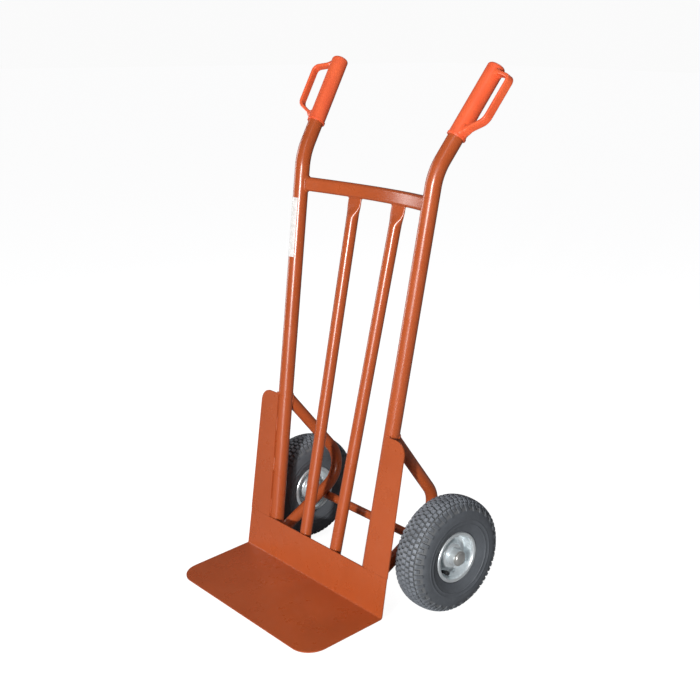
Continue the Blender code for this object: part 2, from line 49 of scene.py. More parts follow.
# sizes, the same as the CAD's except that the guard's strap is wider here
GAP = 0.0002  # clearance of parts that fit round each other
FITTING_GAP = 0.0003  # clearance of parts that stand face to face

# wheel and axle
WHEEL_RADIUS = 0.130
TYRE_HALF_WIDTH = 0.0425
TYRE_MIDDLE_RADIUS = 0.092
WHEEL_X = 0.244
AXLE_CENTRE = Vector((0, 0.12635, 0.130))
AXLE_RADIUS = 0.010
AXLE_END_OUT = 0.0435

# toe plate and ears
BLADE_WIDTH = 0.480
BLADE_DEPTH = 0.200
BLADE_CORNER = 0.048
FOLD_RADIUS = 0.004
SHEET = 0.003
STRIP_HEIGHT = 0.0913
FOLD_Y = -0.05635
FOLD_Z = 0.023
LEAN = math.radians(6.75)
EAR_TOP = 0.388
EAR_CORNER = 0.046
EAR_FLARE = 0.0112
EAR_OUTBOARD = 0.0035

# rails, crossbar, centre tubes and brackets
RAIL_RADIUS = 0.01685
RAIL_BEHIND = SHEET + RAIL_RADIUS + GAP
RAIL_SPACING_FOOT = 0.3233
RAIL_SPLAY = 0.1027
RAIL_FOOT = 0.006
RAIL_KINK = 0.9353
RAIL_BEND_RADIUS = 0.130
TUBE_WALL = 0.002
HANDLE_DIRECTION = Vector((0.1214, 0.5295, 0.8398)).normalized()
HANDLE_LENGTH = 0.2432
CROSSBAR_UP = 0.8705
CROSSBAR_BOW = 0.0515
CROSSBAR_HEIGHT = 0.031
CROSSBAR_DEPTH = 0.020
CENTRE_RADIUS = 0.01345
CENTRE_FOOT_UP = STRIP_HEIGHT - 0.025
CENTRE_FOOT_X = 0.0530
CENTRE_TOP_X = 0.0698
CENTRE_FLAT_LENGTH = 0.052
CENTRE_FLAT_HALF_WIDTH = 0.0205
CENTRE_FLAT_HALF_DEPTH = 0.0036
BRACKET_RADIUS = 0.01345
BRACKET_TOP_UP = 0.387
BRACKET_TOP_OFFSET = 0.003
BRACKET_KNEE_X = 0.1617
BRACKET_KNEE_BEHIND = 0.2442
BRACKET_KNEE_Z = 0.1961
BRACKET_FOOT_UP = 0.0395
BRACKET_BEND_RADIUS = 0.0664

# grips; guard heights run up from the grip's foot
GRIP_RADIUS = 0.0188
GRIP_LENGTH = 0.1644
GRIP_COLLAR_RADIUS = 0.0203
GUARD_OUT = 0.0624
GUARD_HALF_WIDTH = 0.0088
GUARD_HALF_THICKNESS = 0.0036
GUARD_LOW = 0.020
GUARD_LOW_CORNER = 0.044
GUARD_HIGH_CORNER = 0.140
GUARD_HIGH = 0.1465
GUARD_TURN = math.radians(9)

# rims, hubs and fittings
RIM_LIP_RADIUS = 0.0575
RIM_SEAT_RADIUS = 0.0505
RIM_SHEET = 0.0018
RIM_HALF_WIDTH = 0.0315
BOSS_RADIUS = 0.029
BOSS_OUT = 0.020
HUB_RADIUS = 0.018
HUB_BORE_RADIUS = 0.016
HUB_HALF_LENGTH = 0.038
WASHER_RADIUS = 0.0165
WASHER_THICKNESS = 0.0016
CAP_RADIUS = 0.0140
CAP_HEIGHT = 0.006
CAP_SKIRT = 0.0012
COLLAR_RADIUS = 0.0155
COLLAR_WIDTH = 0.008

# inner tubes and valves
INNER_TUBE_RING = 0.092
INNER_TUBE_RADIUS = 0.0262
VALVE_RADIUS = 0.0036
VALVE_CAP_LENGTH = 0.009
VALVE_CAP_RADIUS = 0.0049
VALVE_CAP_RIBS = 16
VALVE_CAP_RIB_DEPTH = 0.0003
VALVE_OUT = 0.014
VALVE_END_OUT = 0.029
VALVE_BEND_AT = 0.040
VALVE_ANGLE = math.radians(231)

# up the leaning face, square behind it, and across the truck
UP = Vector((0, math.sin(LEAN), math.cos(LEAN)))
BEHIND = Vector((0, math.cos(LEAN), -math.sin(LEAN)))
ACROSS = Vector((1, 0, 0))


# ---- shader writing ---------------------------------------------------------------------------------------

class Value:
    """A shader socket; arithmetic on it adds Math nodes."""

    def __init__(self, finish, socket):
        self.finish = finish
        self.socket = socket

    def math(self, operation, first, second):
        return self.finish.node("ShaderNodeMath", {"operation": operation}, {0: first, 1: second})

    def __add__(self, other):
        return self.math("ADD", self, other)

    def __radd__(self, other):
        return self.math("ADD", other, self)

    def __sub__(self, other):
        return self.math("SUBTRACT", self, other)

    def __rsub__(self, other):
        return self.math("SUBTRACT", other, self)

    def __mul__(self, other):
        return self.math("MULTIPLY", self, other)

    def __rmul__(self, other):
        return self.math("MULTIPLY", other, self)


def socket_name(plain):
    """coat_roughness to Coat Roughness, as the shader names its sockets."""
    return plain.replace("_", " ").title().replace("Ior", "IOR")


class Finish:
    """One material and the nodes behind its Principled shader."""

    def __init__(self, name, **constants):
        self.material = bpy.data.materials.new(name)
        self.material.use_nodes = True
        self.tree = self.material.node_tree
        self.shader = self.tree.nodes["Principled BSDF"]
        for socket, value in constants.items():
            self.shader.inputs[socket_name(socket)].default_value = value
        self.place = self.node("ShaderNodeTexCoord", {}, {}, "Object")

    def node(self, kind, settings, sockets, out=0):
        """Any node: its settings first, a ramp's stops among them, then its sockets' values or links."""
        made = self.tree.nodes.new(kind)
        for name, value in settings.items():
            if name == "stops":
                ramp = made.color_ramp
                while len(ramp.elements) < len(value):
                    ramp.elements.new(0.5)
                for element, (position, colour) in zip(ramp.elements, value):
                    element.position = position
                    element.color = (*colour, 1) if isinstance(colour, tuple) else (colour,) * 3 + (1,)
            else:
                setattr(made, name, value)
        for name, value in sockets.items():
            socket = made.inputs[name]
            if isinstance(value, Value):
                self.tree.links.new(value.socket, socket)
            elif isinstance(value, tuple) and socket.type == "RGBA":
                socket.default_value = (*value, 1)
            else:
                socket.default_value = value
        return Value(self, made.outputs[out])

    def noise(self, scale, detail=3.0, roughness=0.55, at=None):
        sockets = {"Vector": at or self.place, "Scale": scale, "Detail": detail, "Roughness": roughness}
        return self.node("ShaderNodeTexNoise", {}, sockets)

    def span(self, value, low, high, to_low=0.0, to_high=1.0):
        """value taken from low..high to to_low..to_high and held at the ends."""
        sockets = {"Value": value, "From Min": low, "From Max": high, "To Min": to_low, "To Max": to_high}
        return self.node("ShaderNodeMapRange", {"clamp": True}, sockets)

    def blend(self, share, first, second, mode="MIX"):
        """Two colours mixed; sockets 6 and 7 of the Mix node are its colours and output 2 its result."""
        settings = {"data_type": "RGBA", "blend_type": mode}
        return self.node("ShaderNodeMix", settings, {0: share, 6: first, 7: second}, 2)

    def worn(self, name):
        """A mark stored on the mesh, such as wear or groove."""
        return self.node("ShaderNodeAttribute", {"attribute_name": name}, {}, "Fac")

    def stretched(self, scale):
        """Object place scaled per axis, for grain that runs one way."""
        sockets = {0: self.place, 1: scale}
        return self.node("ShaderNodeVectorMath", {"operation": "MULTIPLY"}, sockets)

    def feed(self, **links):
        for name, value in links.items():
            self.tree.links.new(value.socket, self.shader.inputs[socket_name(name)])

    def bump(self, height, distance, strength=1.0):
        sockets = {"Height": height, "Distance": distance, "Strength": strength}
        self.feed(normal=self.node("ShaderNodeBump", {}, sockets))


def paint_finish(name, tint, deep, rough=0.27):
    """Glossy powder coat: orange peel, faint mottling, settled dust and small chips down to grey steel."""
    paint = Finish(name, coat_roughness=0.20, ior=1.45)
    cloud = paint.noise(7.0, 3.0)
    grain = paint.noise(420.0, 2.0)
    dust = paint.span(paint.noise(38.0, 6.0, 0.7), 0.52, 0.75)
    specks = paint.span(paint.noise(900.0, 2.0), 0.66, 0.74)
    colour = paint.blend(paint.span(cloud, 0.35, 0.65), tint, deep)
    colour = paint.blend(dust * 0.05 + specks * 0.05, colour, (0.40, 0.26, 0.18))
    edge = paint.worn("wear")
    chip = paint.span(edge * 0.5 + paint.noise(110.0, 5.0, 0.75), 1.23, 1.26)
    bare = paint.blend(paint.noise(300.0), (0.16, 0.15, 0.15), (0.10, 0.07, 0.055))
    paint.feed(base_color=paint.blend(chip, colour, bare),
               roughness=paint.span(paint.noise(24.0, 5.0), 0.3, 0.7, rough - 0.03, rough + 0.08)
               + dust * 0.10 + chip * 0.25,
               metallic=chip * 0.7,
               coat_weight=0.22 - chip * 0.22)
    paint.bump(grain * 0.35 + paint.noise(140.0, 2.0) * 0.65 - chip * 1.5, 0.00012)
    return paint.material


def rubber_finish(name, tint, dusty):
    """Moulded rubber: dust held in the grooves, block tops painted lighter (partly scuffed rubber, partly a
    painted highlight), mould grain.
    """
    rubber = Finish(name, specular_ior_level=0.42)
    groove = rubber.worn("groove")
    scuff = rubber.worn("scuff")
    patches = rubber.noise(34.0, 5.0, 0.65)
    fine = rubber.noise(1500.0, 3.0, 0.7)
    dirt = rubber.span(groove * 0.55 + patches, 0.62, 1.05)
    colour = rubber.blend(rubber.span(patches, 0.35, 0.7), tint, tuple(1.22 * c for c in tint))
    colour = rubber.blend(dirt * 0.42, colour, dusty)
    # the crown's block tops are painted up to 2.9 times lighter: partly scuffed rubber, partly a painted
    # highlight for tops facing the light
    colour = rubber.blend(scuff * rubber.span(patches, 0.3, 0.6, 0.35, 0.95), colour,
                          tuple(2.9 * c for c in tint))
    rubber.feed(base_color=colour,
                roughness=rubber.span(rubber.noise(90.0, 4.0), 0.3, 0.7, 0.50, 0.66) + dirt * 0.14)
    rubber.bump(fine * 0.6 + rubber.noise(220.0, 3.0) * 0.8, 0.00022)
    return rubber.material


def zinc_finish(name, tint, rough, ring_scale, plate=0.95):
    """Bright zinc plate: fine turning rings, cloudy passivation and white bloom in places."""
    zinc = Finish(name)
    cloud = zinc.noise(60.0, 5.0, 0.6)
    bloom = zinc.span(zinc.noise(130.0, 6.0, 0.7), 0.56, 0.72)
    wheel_at = {"Vector": zinc.node("ShaderNodeVectorMath", {"operation": "SUBTRACT"},
                                    {0: zinc.place, 1: tuple(AXLE_CENTRE)}),
                "Scale": ring_scale, "Distortion": 0.6, "Detail": 2.0}
    rings = zinc.node("ShaderNodeTexWave", {"wave_type": "RINGS", "rings_direction": "X"}, wheel_at, "Fac")
    colour = zinc.blend(zinc.span(cloud, 0.35, 0.65), tint, tuple(0.86 * c for c in tint))
    colour = zinc.blend(bloom * 0.35, colour, (0.80, 0.82, 0.83))
    zinc.feed(base_color=colour,
              roughness=zinc.span(cloud, 0.3, 0.7, rough - 0.06, rough + 0.10) + bloom * 0.16,
              metallic=plate - bloom * 0.2)
    zinc.bump(rings * 0.5 + zinc.noise(700.0, 2.0) * 0.5, 0.00006)
    return zinc.material


def plastic_finish(name, tint, deep, rough, grain_scale=1400.0):
    """Moulded plastic: fine spark grain, slight flow marks and handling dirt."""
    plastic = Finish(name, ior=1.47, specular_ior_level=0.62)
    flow = plastic.noise(26.0, 3.0, 0.5, plastic.stretched((1.0, 1.0, 0.25)))
    hands = plastic.span(plastic.noise(70.0, 6.0, 0.7), 0.55, 0.78)
    colour = plastic.blend(plastic.span(flow, 0.35, 0.65), tint, deep)
    colour = plastic.blend(hands * 0.16, colour, (0.20, 0.10, 0.07))
    plastic.feed(base_color=colour,
                 roughness=plastic.span(flow, 0.3, 0.7, rough - 0.04, rough + 0.06) + hands * 0.12)
    plastic.bump(plastic.noise(grain_scale, 2.0) * 0.4 + flow * 0.6, 0.00003)
    return plastic.material


def label_finish():
    """Blank vinyl label with a soft sheen and grubby patches."""
    label = Finish("label_vinyl")
    smudge = label.noise(90.0, 5.0, 0.65)
    label.feed(base_color=label.blend(label.span(smudge, 0.45, 0.75), (0.82, 0.80, 0.78), (0.62, 0.58, 0.55)),
               roughness=label.span(smudge, 0.3, 0.7, 0.36, 0.52))
    label.bump(label.noise(260.0, 3.0), 0.00005)
    return label.material


PAINT = (0.445, 0.088, 0.023)
PAINT_DEEP = (0.410, 0.078, 0.019)
frame_paint = paint_finish("frame_powder_coat", PAINT, PAINT_DEEP)
# weld beads use a slightly lighter copy of the frame paint: a painted highlight on the beads
weld_paint_highlit = paint_finish("painted_weld_bead", (0.46, 0.095, 0.026), PAINT, 0.30)
tyre_rubber = rubber_finish("tyre_rubber", (0.086, 0.094, 0.105), (0.155, 0.155, 0.152))
tube_rubber = rubber_finish("inner_tube_rubber", (0.018, 0.018, 0.020), (0.07, 0.065, 0.06))
rim_zinc = zinc_finish("rim_zinc_plate", (0.82, 0.87, 0.89), 0.34, 260.0, 0.62)
fitting_zinc = zinc_finish("fittings_zinc_plate", (0.62, 0.62, 0.60), 0.30, 420.0, 0.75)
bearing_steel = zinc_finish("bearing_steel", (0.46, 0.46, 0.47), 0.24, 600.0)
grip_plastic = plastic_finish("grip_plastic", (0.92, 0.150, 0.050), (0.84, 0.115, 0.038), 0.38)
valve_plastic = plastic_finish("valve_cap_plastic", (0.020, 0.020, 0.022), (0.012, 0.012, 0.013), 0.45,
                               2200.0)
label_vinyl = label_finish()


# ---- mesh helpers -----------------------------------------------------------------------------------------

END_BREAK = 0.0004  # how far a cut tube's edge is softened


def piece(name, shape, body, finish, stands_for=(), sharp=35, marks=None):
    """Turn a bmesh into a shown object that rides on a body. marks are per-vertex float attributes."""
    bmesh.ops.recalc_face_normals(shape, faces=shape.faces)
    mesh = bpy.data.meshes.new(name)
    shape.to_mesh(mesh)
    shape.free()
    mesh.shade_smooth()
    mesh.set_sharp_from_angle(angle=math.radians(sharp))
    for mark, values in (marks or {}).items():
        layer = mesh.attributes.new(mark, "FLOAT", "POINT")
        layer.data.foreach_set("value", np.asarray(values, np.float32))
    made = bpy.data.objects.new(name, mesh)
    mesh.materials.append(finish)
    bpy.context.scene.collection.objects.link(made)
    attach(made, body)
    if stands_for:
        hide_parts(*stands_for)
    return made


def fillet(points, radii, steps=5, closed=True):
    """Round the corners of a flat outline; each corner has its own radius, held to fit its two sides."""
    count = len(points)
    if not hasattr(radii, "__len__"):
        radii = [radii] * count
    out = []
    for index, corner in enumerate(points):
        radius = radii[index]
        at_end = not closed and index in (0, count - 1)
        here = Vector(corner)
        if radius <= 0 or at_end:
            out.append(tuple(here))
            continue
        before = Vector(points[index - 1]) - here
        after = Vector(points[(index + 1) % count]) - here
        half = before.angle(after) / 2
        reach = min(radius / math.tan(half), 0.48 * before.length, 0.48 * after.length)
        radius = reach * math.tan(half)
        if reach < 1e-7 or half > 0.499 * math.pi:
            out.append(tuple(here))
            continue
        middle = here + (before.normalized() + after.normalized()).normalized() * (radius / math.sin(half))
        start = here + before.normalized() * reach - middle
        end = here + after.normalized() * reach - middle
        turn = start.angle(end)
        for step in range(steps + 1):
            share = step / steps
            out.append(tuple(middle + start * (math.sin((1 - share) * turn) / math.sin(turn))
                             + end * (math.sin(share * turn) / math.sin(turn))))
    return out


def oval(half_side, half_depth, sides, squareness=1.0):
    """Points round an ellipse; squareness under 1 fills out its corners."""
    section = []
    for step in range(sides):
        angle = 2 * math.pi * step / sides
        across = math.copysign(abs(math.cos(angle)) ** squareness, math.cos(angle))
        along = math.copysign(abs(math.sin(angle)) ** squareness, math.sin(angle))
        section.append((half_side * across, half_depth * along))
    return section


def skin(shape, rings, closed_ring=True, loop=False):
    """Join a list of vertex rings with quads; loop joins the last ring to the first."""
    pairs = list(zip(rings, rings[1:])) + ([(rings[-1], rings[0])] if loop else [])
    count = len(rings[0])
    for ring, after in pairs:
        for k in range(count if closed_ring else count - 1):
            n = (k + 1) % count
            corners = list(dict.fromkeys((ring[k], ring[n], after[n], after[k])))
            if len(corners) > 2:
                shape.faces.new(corners)


def square_to(ahead, hint):
    """Two directions square to ahead and to each other; the first is as near to hint as it can be."""
    side = (hint - ahead * hint.dot(ahead)).normalized()
    return side, ahead.cross(side)


def ring_on(shape, path, index, centre, side_hint, section):
    """A ring of vertices round centre, square to the path at index."""
    last = len(path) - 1
    ahead = (path[min(index + 1, last)] - path[max(index - 1, 0)]).normalized()
    side, depth = square_to(ahead, side_hint)
    return [shape.verts.new(centre + side * a + depth * b) for a, b in section]


def sweep(path, side_hint, section_at, shape=None):
    """Carry a closed section along a path and close both ends; section_at(index) gives its points."""
    shape = shape or bmesh.new()
    rings = [ring_on(shape, path, index, point, side_hint, section_at(index))
             for index, point in enumerate(path)]
    skin(shape, rings)
    shape.faces.new(rings[0])
    shape.faces.new(rings[-1])
    return shape


def pipe(path, radius, wall, sides, side_hint=ACROSS):
    """An open tube with a wall and softly broken end edges."""
    shape = bmesh.new()
    last = len(path) - 1
    between = range(1, last)
    start = path[0] + (path[1] - path[0]).normalized() * END_BREAK
    end = path[-1] - (path[-1] - path[-2]).normalized() * END_BREAK
    stations = [(0, path[0], radius - END_BREAK), (0, start, radius)]
    stations += [(k, path[k], radius) for k in between]
    stations += [(last, end, radius), (last, path[last], radius - END_BREAK)]
    stations += [(last, path[last], radius - wall)]
    stations += [(k, path[k], radius - wall) for k in reversed(between)]
    stations += [(0, path[0], radius - wall)]
    rings = [ring_on(shape, path, index, centre, side_hint, oval(size, size, sides))
             for index, centre, size in stations]
    skin(shape, rings, loop=True)
    return shape


def turned(outline, origin, axis, segments):
    """Turn a closed outline of (distance along the axis, radius) points about the axis."""
    axis = axis.normalized()
    side, depth = square_to(axis, Vector((0, 0, 1)) if abs(axis.z) < 0.9 else ACROSS)
    shape = bmesh.new()
    rings = []
    for along, radius in outline:
        centre = origin + axis * along
        if radius <= 1e-9:
            rings.append([shape.verts.new(centre)] * segments)
            continue
        ring = []
        for step in range(segments):
            angle = 2 * math.pi * step / segments
            ring.append(shape.verts.new(centre + (side * math.cos(angle) + depth * math.sin(angle)) * radius))
        rings.append(ring)
    skin(shape, rings, loop=True)
    return shape


def rounded_path(points, radius, steps):
    return [Vector(p) for p in fillet([tuple(p) for p in points], radius, steps, closed=False)]


def on_frame(x, up, behind):
    """A place by its distance across, up the leaning face from the fold, and behind that face."""
    return Vector((x, FOLD_Y, FOLD_Z)) + UP * up + BEHIND * behind


def rail_x(up):
    return (RAIL_SPACING_FOOT + RAIL_SPLAY * up) / 2


def rail_point(side, up):
    return on_frame(side * rail_x(up), up, RAIL_BEHIND)


def kink_point(side):
    return rail_point(side, RAIL_KINK)


def handle_direction(side):
    return Vector((side * HANDLE_DIRECTION.x, HANDLE_DIRECTION.y, HANDLE_DIRECTION.z))


def mix(first, second, share):
    return first + (second - first) * share


# ---- sheet parts ------------------------------------------------------------------------------------------

EDGE_BREAK = 0.0005  # rounding of a cut edge
WEAR_REACH = 0.006  # how far in from an edge the paint wears
SHARP_CORNER = 0.0006  # a corner that is only deburred
EAR_INNER_CORNER = 0.0015
FRONT_SETBACK = 0.0004  # keeps the blade's front edge inside the CAD plate
FOLD_CUTS = 10


def edge_distance(x, y, outline):
    """How far a flat point is from the outline."""
    best = 1.0
    for (ax, ay), (bx, by) in zip(outline, outline[1:] + outline[:1]):
        dx, dy = bx - ax, by - ay
        length = dx * dx + dy * dy
        share = 0.0 if length < 1e-12 else max(0.0, min(1.0, ((x - ax) * dx + (y - ay) * dy) / length))
        best = min(best, math.hypot(x - ax - share * dx, y - ay - share * dy))
    return best


def grid_marks(values, pitch=0.012):
    """Evenly spaced cuts between the smallest and largest value."""
    low, high = min(values), max(values)
    steps = max(2, round((high - low) / pitch))
    return [low + (high - low) * step / steps for step in range(1, steps)]


def flat_sheet(outline, place, cuts=()):
    """A sheet with broken edges and a worn border, cut to an outline and then put in place or folded."""
    shape = bmesh.new()
    front = [shape.verts.new((x, up, 0)) for x, up in outline]
    back = [shape.verts.new((x, up, SHEET)) for x, up in outline]
    faces = [shape.faces.new(front), shape.faces.new(back[::-1])]
    for k in range(len(outline)):
        n = (k + 1) % len(outline)
        shape.faces.new((front[n], front[k], back[k], back[n]))
    rims = [edge for face in faces for edge in face.edges]
    bmesh.ops.bevel(shape, geom=rims, offset=EDGE_BREAK, segments=3, affect="EDGES", profile=0.5)
    for axis, marks in ((0, grid_marks([x for x, _ in outline])),
                        (1, sorted(grid_marks([up for _, up in outline]) + list(cuts)))):
        normal = (1 - axis, axis, 0)
        for mark in marks:
            geometry = list(shape.verts) + list(shape.edges) + list(shape.faces)
            spot = (mark * (1 - axis), mark * axis, 0)
            bmesh.ops.bisect_plane(shape, geom=geometry, dist=1e-6, plane_co=spot, plane_no=normal)
    shape.verts.ensure_lookup_table()
    wear = [max(0.0, 1.0 - edge_distance(v.co.x, v.co.y, outline) / WEAR_REACH) for v in shape.verts]
    for vertex in shape.verts:
        vertex.co = place(*vertex.co)
    return shape, wear


def fold_lines():
    """The folded sheet's load-side face in side view: its blade end, crossing point and strip top."""
    slope = math.atan2(FOLD_Z, BLADE_DEPTH)
    blade_up = Vector((0, -math.sin(slope), math.cos(slope)))
    forward = Vector((0, -math.cos(slope), -math.sin(slope)))
    fold = Vector((0, FOLD_Y, FOLD_Z))
    start = fold + blade_up * SHEET
    spread = start - fold
    bottom = UP.y * forward.z - UP.z * forward.y
    crossing = fold + UP * ((spread.y * forward.z - spread.z * forward.y) / bottom)
    blade_end = fold + Vector((0, -BLADE_DEPTH, -FOLD_Z)) + blade_up * SHEET
    return blade_end, crossing, fold + UP * STRIP_HEIGHT, blade_up


def make_toe_plate():
    """One sheet laid out flat, then folded along a small radius into blade and upright strip."""
    blade_end, crossing, top, blade_up = fold_lines()
    back_along = (crossing - blade_end).normalized()
    turn = back_along.angle(UP)
    reach = FOLD_RADIUS * math.tan(turn / 2)
    run = (crossing - blade_end).length - reach
    arc = FOLD_RADIUS * turn
    rise = (top - crossing).length - reach
    middle = crossing - back_along * reach + blade_up * FOLD_RADIUS

    def folded(x, along, depth):
        if along <= run:
            spot = blade_end + back_along * along - blade_up * depth
        elif along >= run + arc:
            spot = crossing + UP * (reach + along - run - arc) + BEHIND * depth
        else:
            angle = (along - run) / FOLD_RADIUS
            spoke = back_along * math.sin(angle) - blade_up * math.cos(angle)
            spot = middle + spoke * (FOLD_RADIUS + depth)
        return Vector((x, spot.y, spot.z))

    half = BLADE_WIDTH / 2
    total = run + arc + rise
    corners = [(-half, FRONT_SETBACK), (half, FRONT_SETBACK), (half, total), (-half, total)]
    outline = fillet(corners, [BLADE_CORNER, BLADE_CORNER, SHARP_CORNER, SHARP_CORNER], 18)
    cuts = [run + arc * step / FOLD_CUTS for step in range(FOLD_CUTS + 1)]
    shape, wear = flat_sheet(outline, folded, cuts)
    piece("toe_plate_sheet", shape, "frame", frame_paint, ("toe_plate",), 30, {"wear": wear})


def make_ears():
    """Side plates that carry the strip's line upwards, outboard of each rail."""
    foot = STRIP_HEIGHT + FITTING_GAP
    for label, side in SIDES:
        outer_foot = BLADE_WIDTH / 2 + EAR_FLARE * foot
        outer_top = BLADE_WIDTH / 2 + EAR_FLARE * EAR_TOP
        corners = [(side * (rail_x(foot) + EAR_OUTBOARD), foot), (side * outer_foot, foot),
                   (side * outer_top, EAR_TOP), (side * (rail_x(EAR_TOP) + EAR_OUTBOARD), EAR_TOP)]
        outline = fillet(corners, [SHARP_CORNER, SHARP_CORNER, EAR_CORNER, EAR_INNER_CORNER], 16)
        shape, wear = flat_sheet(outline, on_frame)
        piece(label + "_ear_sheet", shape, "frame", frame_paint, (label + "_ear_plate",), 30,
              {"wear": wear})


# ---- tubes ------------------------------------------------------------------------------------------------

HANDLE_CUT = 0.006  # how far short of the grip's end the rail stops
CROSSBAR_STEPS = 48
CROSSBAR_CORNER = 0.0078
CROSSBAR_OVERLAP = 0.6  # share of the rail's radius by which an end sinks into the rail
BRACKET_OVERLAP = (0.6, 0.5)  # the same for the bracket's upper and lower end
PRESS_CLEAR = 0.30  # share of the pressed length that is fully flat
PRESS_SHOULDER = 0.62
PRESS_SQUARENESS = 0.62


def make_rails():
    for label, side in SIDES:
        tip = kink_point(side) + handle_direction(side) * (HANDLE_LENGTH - HANDLE_CUT)
        path = rounded_path([rail_point(side, RAIL_FOOT), kink_point(side), tip], RAIL_BEND_RADIUS, 28)
        piece(label + "_rail_tube", pipe(path, RAIL_RADIUS, TUBE_WALL, 48), "frame", frame_paint,
              (label + "_rail",))


def crossbar_behind(x):
    """How far behind the leaning face the bowed crossbar's middle line is."""
    return RAIL_BEHIND + CROSSBAR_BOW * (1 - (x / rail_x(CROSSBAR_UP)) ** 2)


def crossbar_path():
    half = rail_x(CROSSBAR_UP) - CROSSBAR_OVERLAP * RAIL_RADIUS
    spots = [half * (2 * step / CROSSBAR_STEPS - 1) for step in range(CROSSBAR_STEPS + 1)]
    return [on_frame(x, CROSSBAR_UP, crossbar_behind(x)) for x in spots]


def crossbar_section():
    """Flat face to the load, rounded top and bottom."""
    half_up, half_deep = CROSSBAR_HEIGHT / 2, CROSSBAR_DEPTH / 2
    corners = [(half_up, -half_deep), (half_up, half_deep), (-half_up, half_deep), (-half_up, -half_deep)]
    return fillet(corners, CROSSBAR_CORNER, 9)


def make_crossbar():
    section = crossbar_section()
    shape = sweep(crossbar_path(), UP, lambda index: section)
    piece("crossbar_tube", shape, "frame", frame_paint, ("crossbar",))


def make_centre_tubes():
    """Round tubes whose top ends are pressed flat, with a soft shoulder between round and flat."""
    top_up = CROSSBAR_UP - CROSSBAR_HEIGHT / 2 + 0.0015
    length = top_up - CENTRE_FOOT_UP
    flat_share = CENTRE_FLAT_LENGTH / length
    shares = [0, 0.3, 0.6, 0.9] + [1 - flat_share * (1 - step / 24) for step in range(25)]

    def section_at(index):
        down = min(1.0, (1 - shares[index]) / flat_share)
        shoulder = max(0.0, min(1.0, (down - PRESS_CLEAR) / PRESS_SHOULDER))
        press = 0.5 + 0.5 * math.cos(math.pi * shoulder)
        wide = mix(CENTRE_RADIUS, CENTRE_FLAT_HALF_WIDTH, press)
        deep = mix(CENTRE_RADIUS, CENTRE_FLAT_HALF_DEPTH, press)
        return oval(wide, deep, 48, mix(1.0, PRESS_SQUARENESS, press))

    for label, side in SIDES:
        foot = on_frame(side * CENTRE_FOOT_X, CENTRE_FOOT_UP, SHEET + CENTRE_RADIUS + GAP)
        top = on_frame(side * CENTRE_TOP_X, top_up, crossbar_behind(CENTRE_TOP_X))
        path = [foot.lerp(top, share) for share in shares]
        piece(label + "_centre_tube_pressed", sweep(path, ACROSS, section_at), "frame", frame_paint,
              (label + "_centre_tube",))


def bracket_corners(side):
    """The bracket's upper end on the rail, its knee and its lower end on the rail."""
    top = rail_point(side, BRACKET_TOP_UP) + ACROSS * (side * BRACKET_TOP_OFFSET)
    knee = Vector((side * BRACKET_KNEE_X, FOLD_Y + BRACKET_KNEE_BEHIND, BRACKET_KNEE_Z))
    return top, knee, rail_point(side, BRACKET_FOOT_UP)


def make_brackets():
    """Bent tubes; bending squashes the section a little at the knee."""
    for label, side in SIDES:
        top, knee, foot = bracket_corners(side)
        top += (knee - top).normalized() * (BRACKET_OVERLAP[0] * RAIL_RADIUS)
        foot += (knee - foot).normalized() * (BRACKET_OVERLAP[1] * RAIL_RADIUS)
        path = rounded_path([top, knee, foot], BRACKET_BEND_RADIUS, 26)
        last = len(path) - 1

        def section_at(index):
            squash = max(0.0, 1 - abs(2 * index / last - 1)) ** 1.5
            return oval(BRACKET_RADIUS * (1 + 0.035 * squash), BRACKET_RADIUS * (1 - 0.055 * squash), 40)

        piece(label + "_bracket_tube", sweep(path, ACROSS, section_at), "frame", frame_paint,
              (label + "_wheel_bracket",))


def make_axle():
    reach = WHEEL_X + AXLE_END_OUT
    outline = fillet([(-reach, 0), (-reach, AXLE_RADIUS), (reach, AXLE_RADIUS), (reach, 0)],
                     [0, 0.0008, 0.0008, 0], 3)
    piece("axle_bar", turned(outline, AXLE_CENTRE, ACROSS, 40), "frame", frame_paint,
          ("axle",))


# ---- welds ------------------------------------------------------------------------------------------------

RIPPLE_PITCH = 0.0022
RIPPLE_SWELL = 0.13
BEAD_ENDS = (0.45, 0.75, 0.93)  # how full the first and last stations of an open bead are
BEAD_HINT = Vector((0.31, 0.52, 0.79))  # a direction that no bead runs along
EAR_STITCHES = ((0.100, 0.135, 0.0012), (0.205, 0.236, 0.0019), (0.300, 0.330, 0.0012))  # from, to, size
EAR_BACK_RUN = (0.12, 0.36)
RAIL_FOOT_RUN = (0.030, 0.082)
AXLE_BEAD_HALF = 0.008
CENTRE_TOP_HALF = 0.0195
EDGES = (("in", -1), ("out", 1))


def bead(name, path, size, seed, closed=False):
    """A rippled weld bead along a path; the ripples and small wanderings come from a seeded generator."""
    chance = random.Random(seed)
    shape = bmesh.new()
    count = len(path)
    section = oval(size, size, 10)
    rings = []
    travelled = 0.0
    wander = 0.0
    for index, point in enumerate(path):
        before = path[index - 1] if closed or index else path[0]
        after = path[(index + 1) % count] if closed or index < count - 1 else path[-1]
        side, depth = square_to((after - before).normalized(), BEAD_HINT)
        if index:
            travelled += (point - path[index - 1]).length
        wander = 0.8 * wander + chance.uniform(-0.05, 0.05)
        swell = 1 + RIPPLE_SWELL * abs(math.sin(math.pi * travelled / RIPPLE_PITCH)) + wander
        near_end = min(index, count - 1 - index)
        if not closed and near_end < len(BEAD_ENDS):
            swell *= BEAD_ENDS[near_end]
        rings.append([shape.verts.new(point + (side * a + depth * b) * swell) for a, b in section])
    skin(shape, rings, loop=closed)
    if not closed:
        shape.faces.new(rings[0])
        shape.faces.new(rings[-1])
    piece(name, shape, "frame", weld_paint_highlit, sharp=60)


def straight(start, end, pitch=0.0006):
    steps = max(6, round((end - start).length / pitch))
    return [start.lerp(end, step / steps) for step in range(steps + 1)]


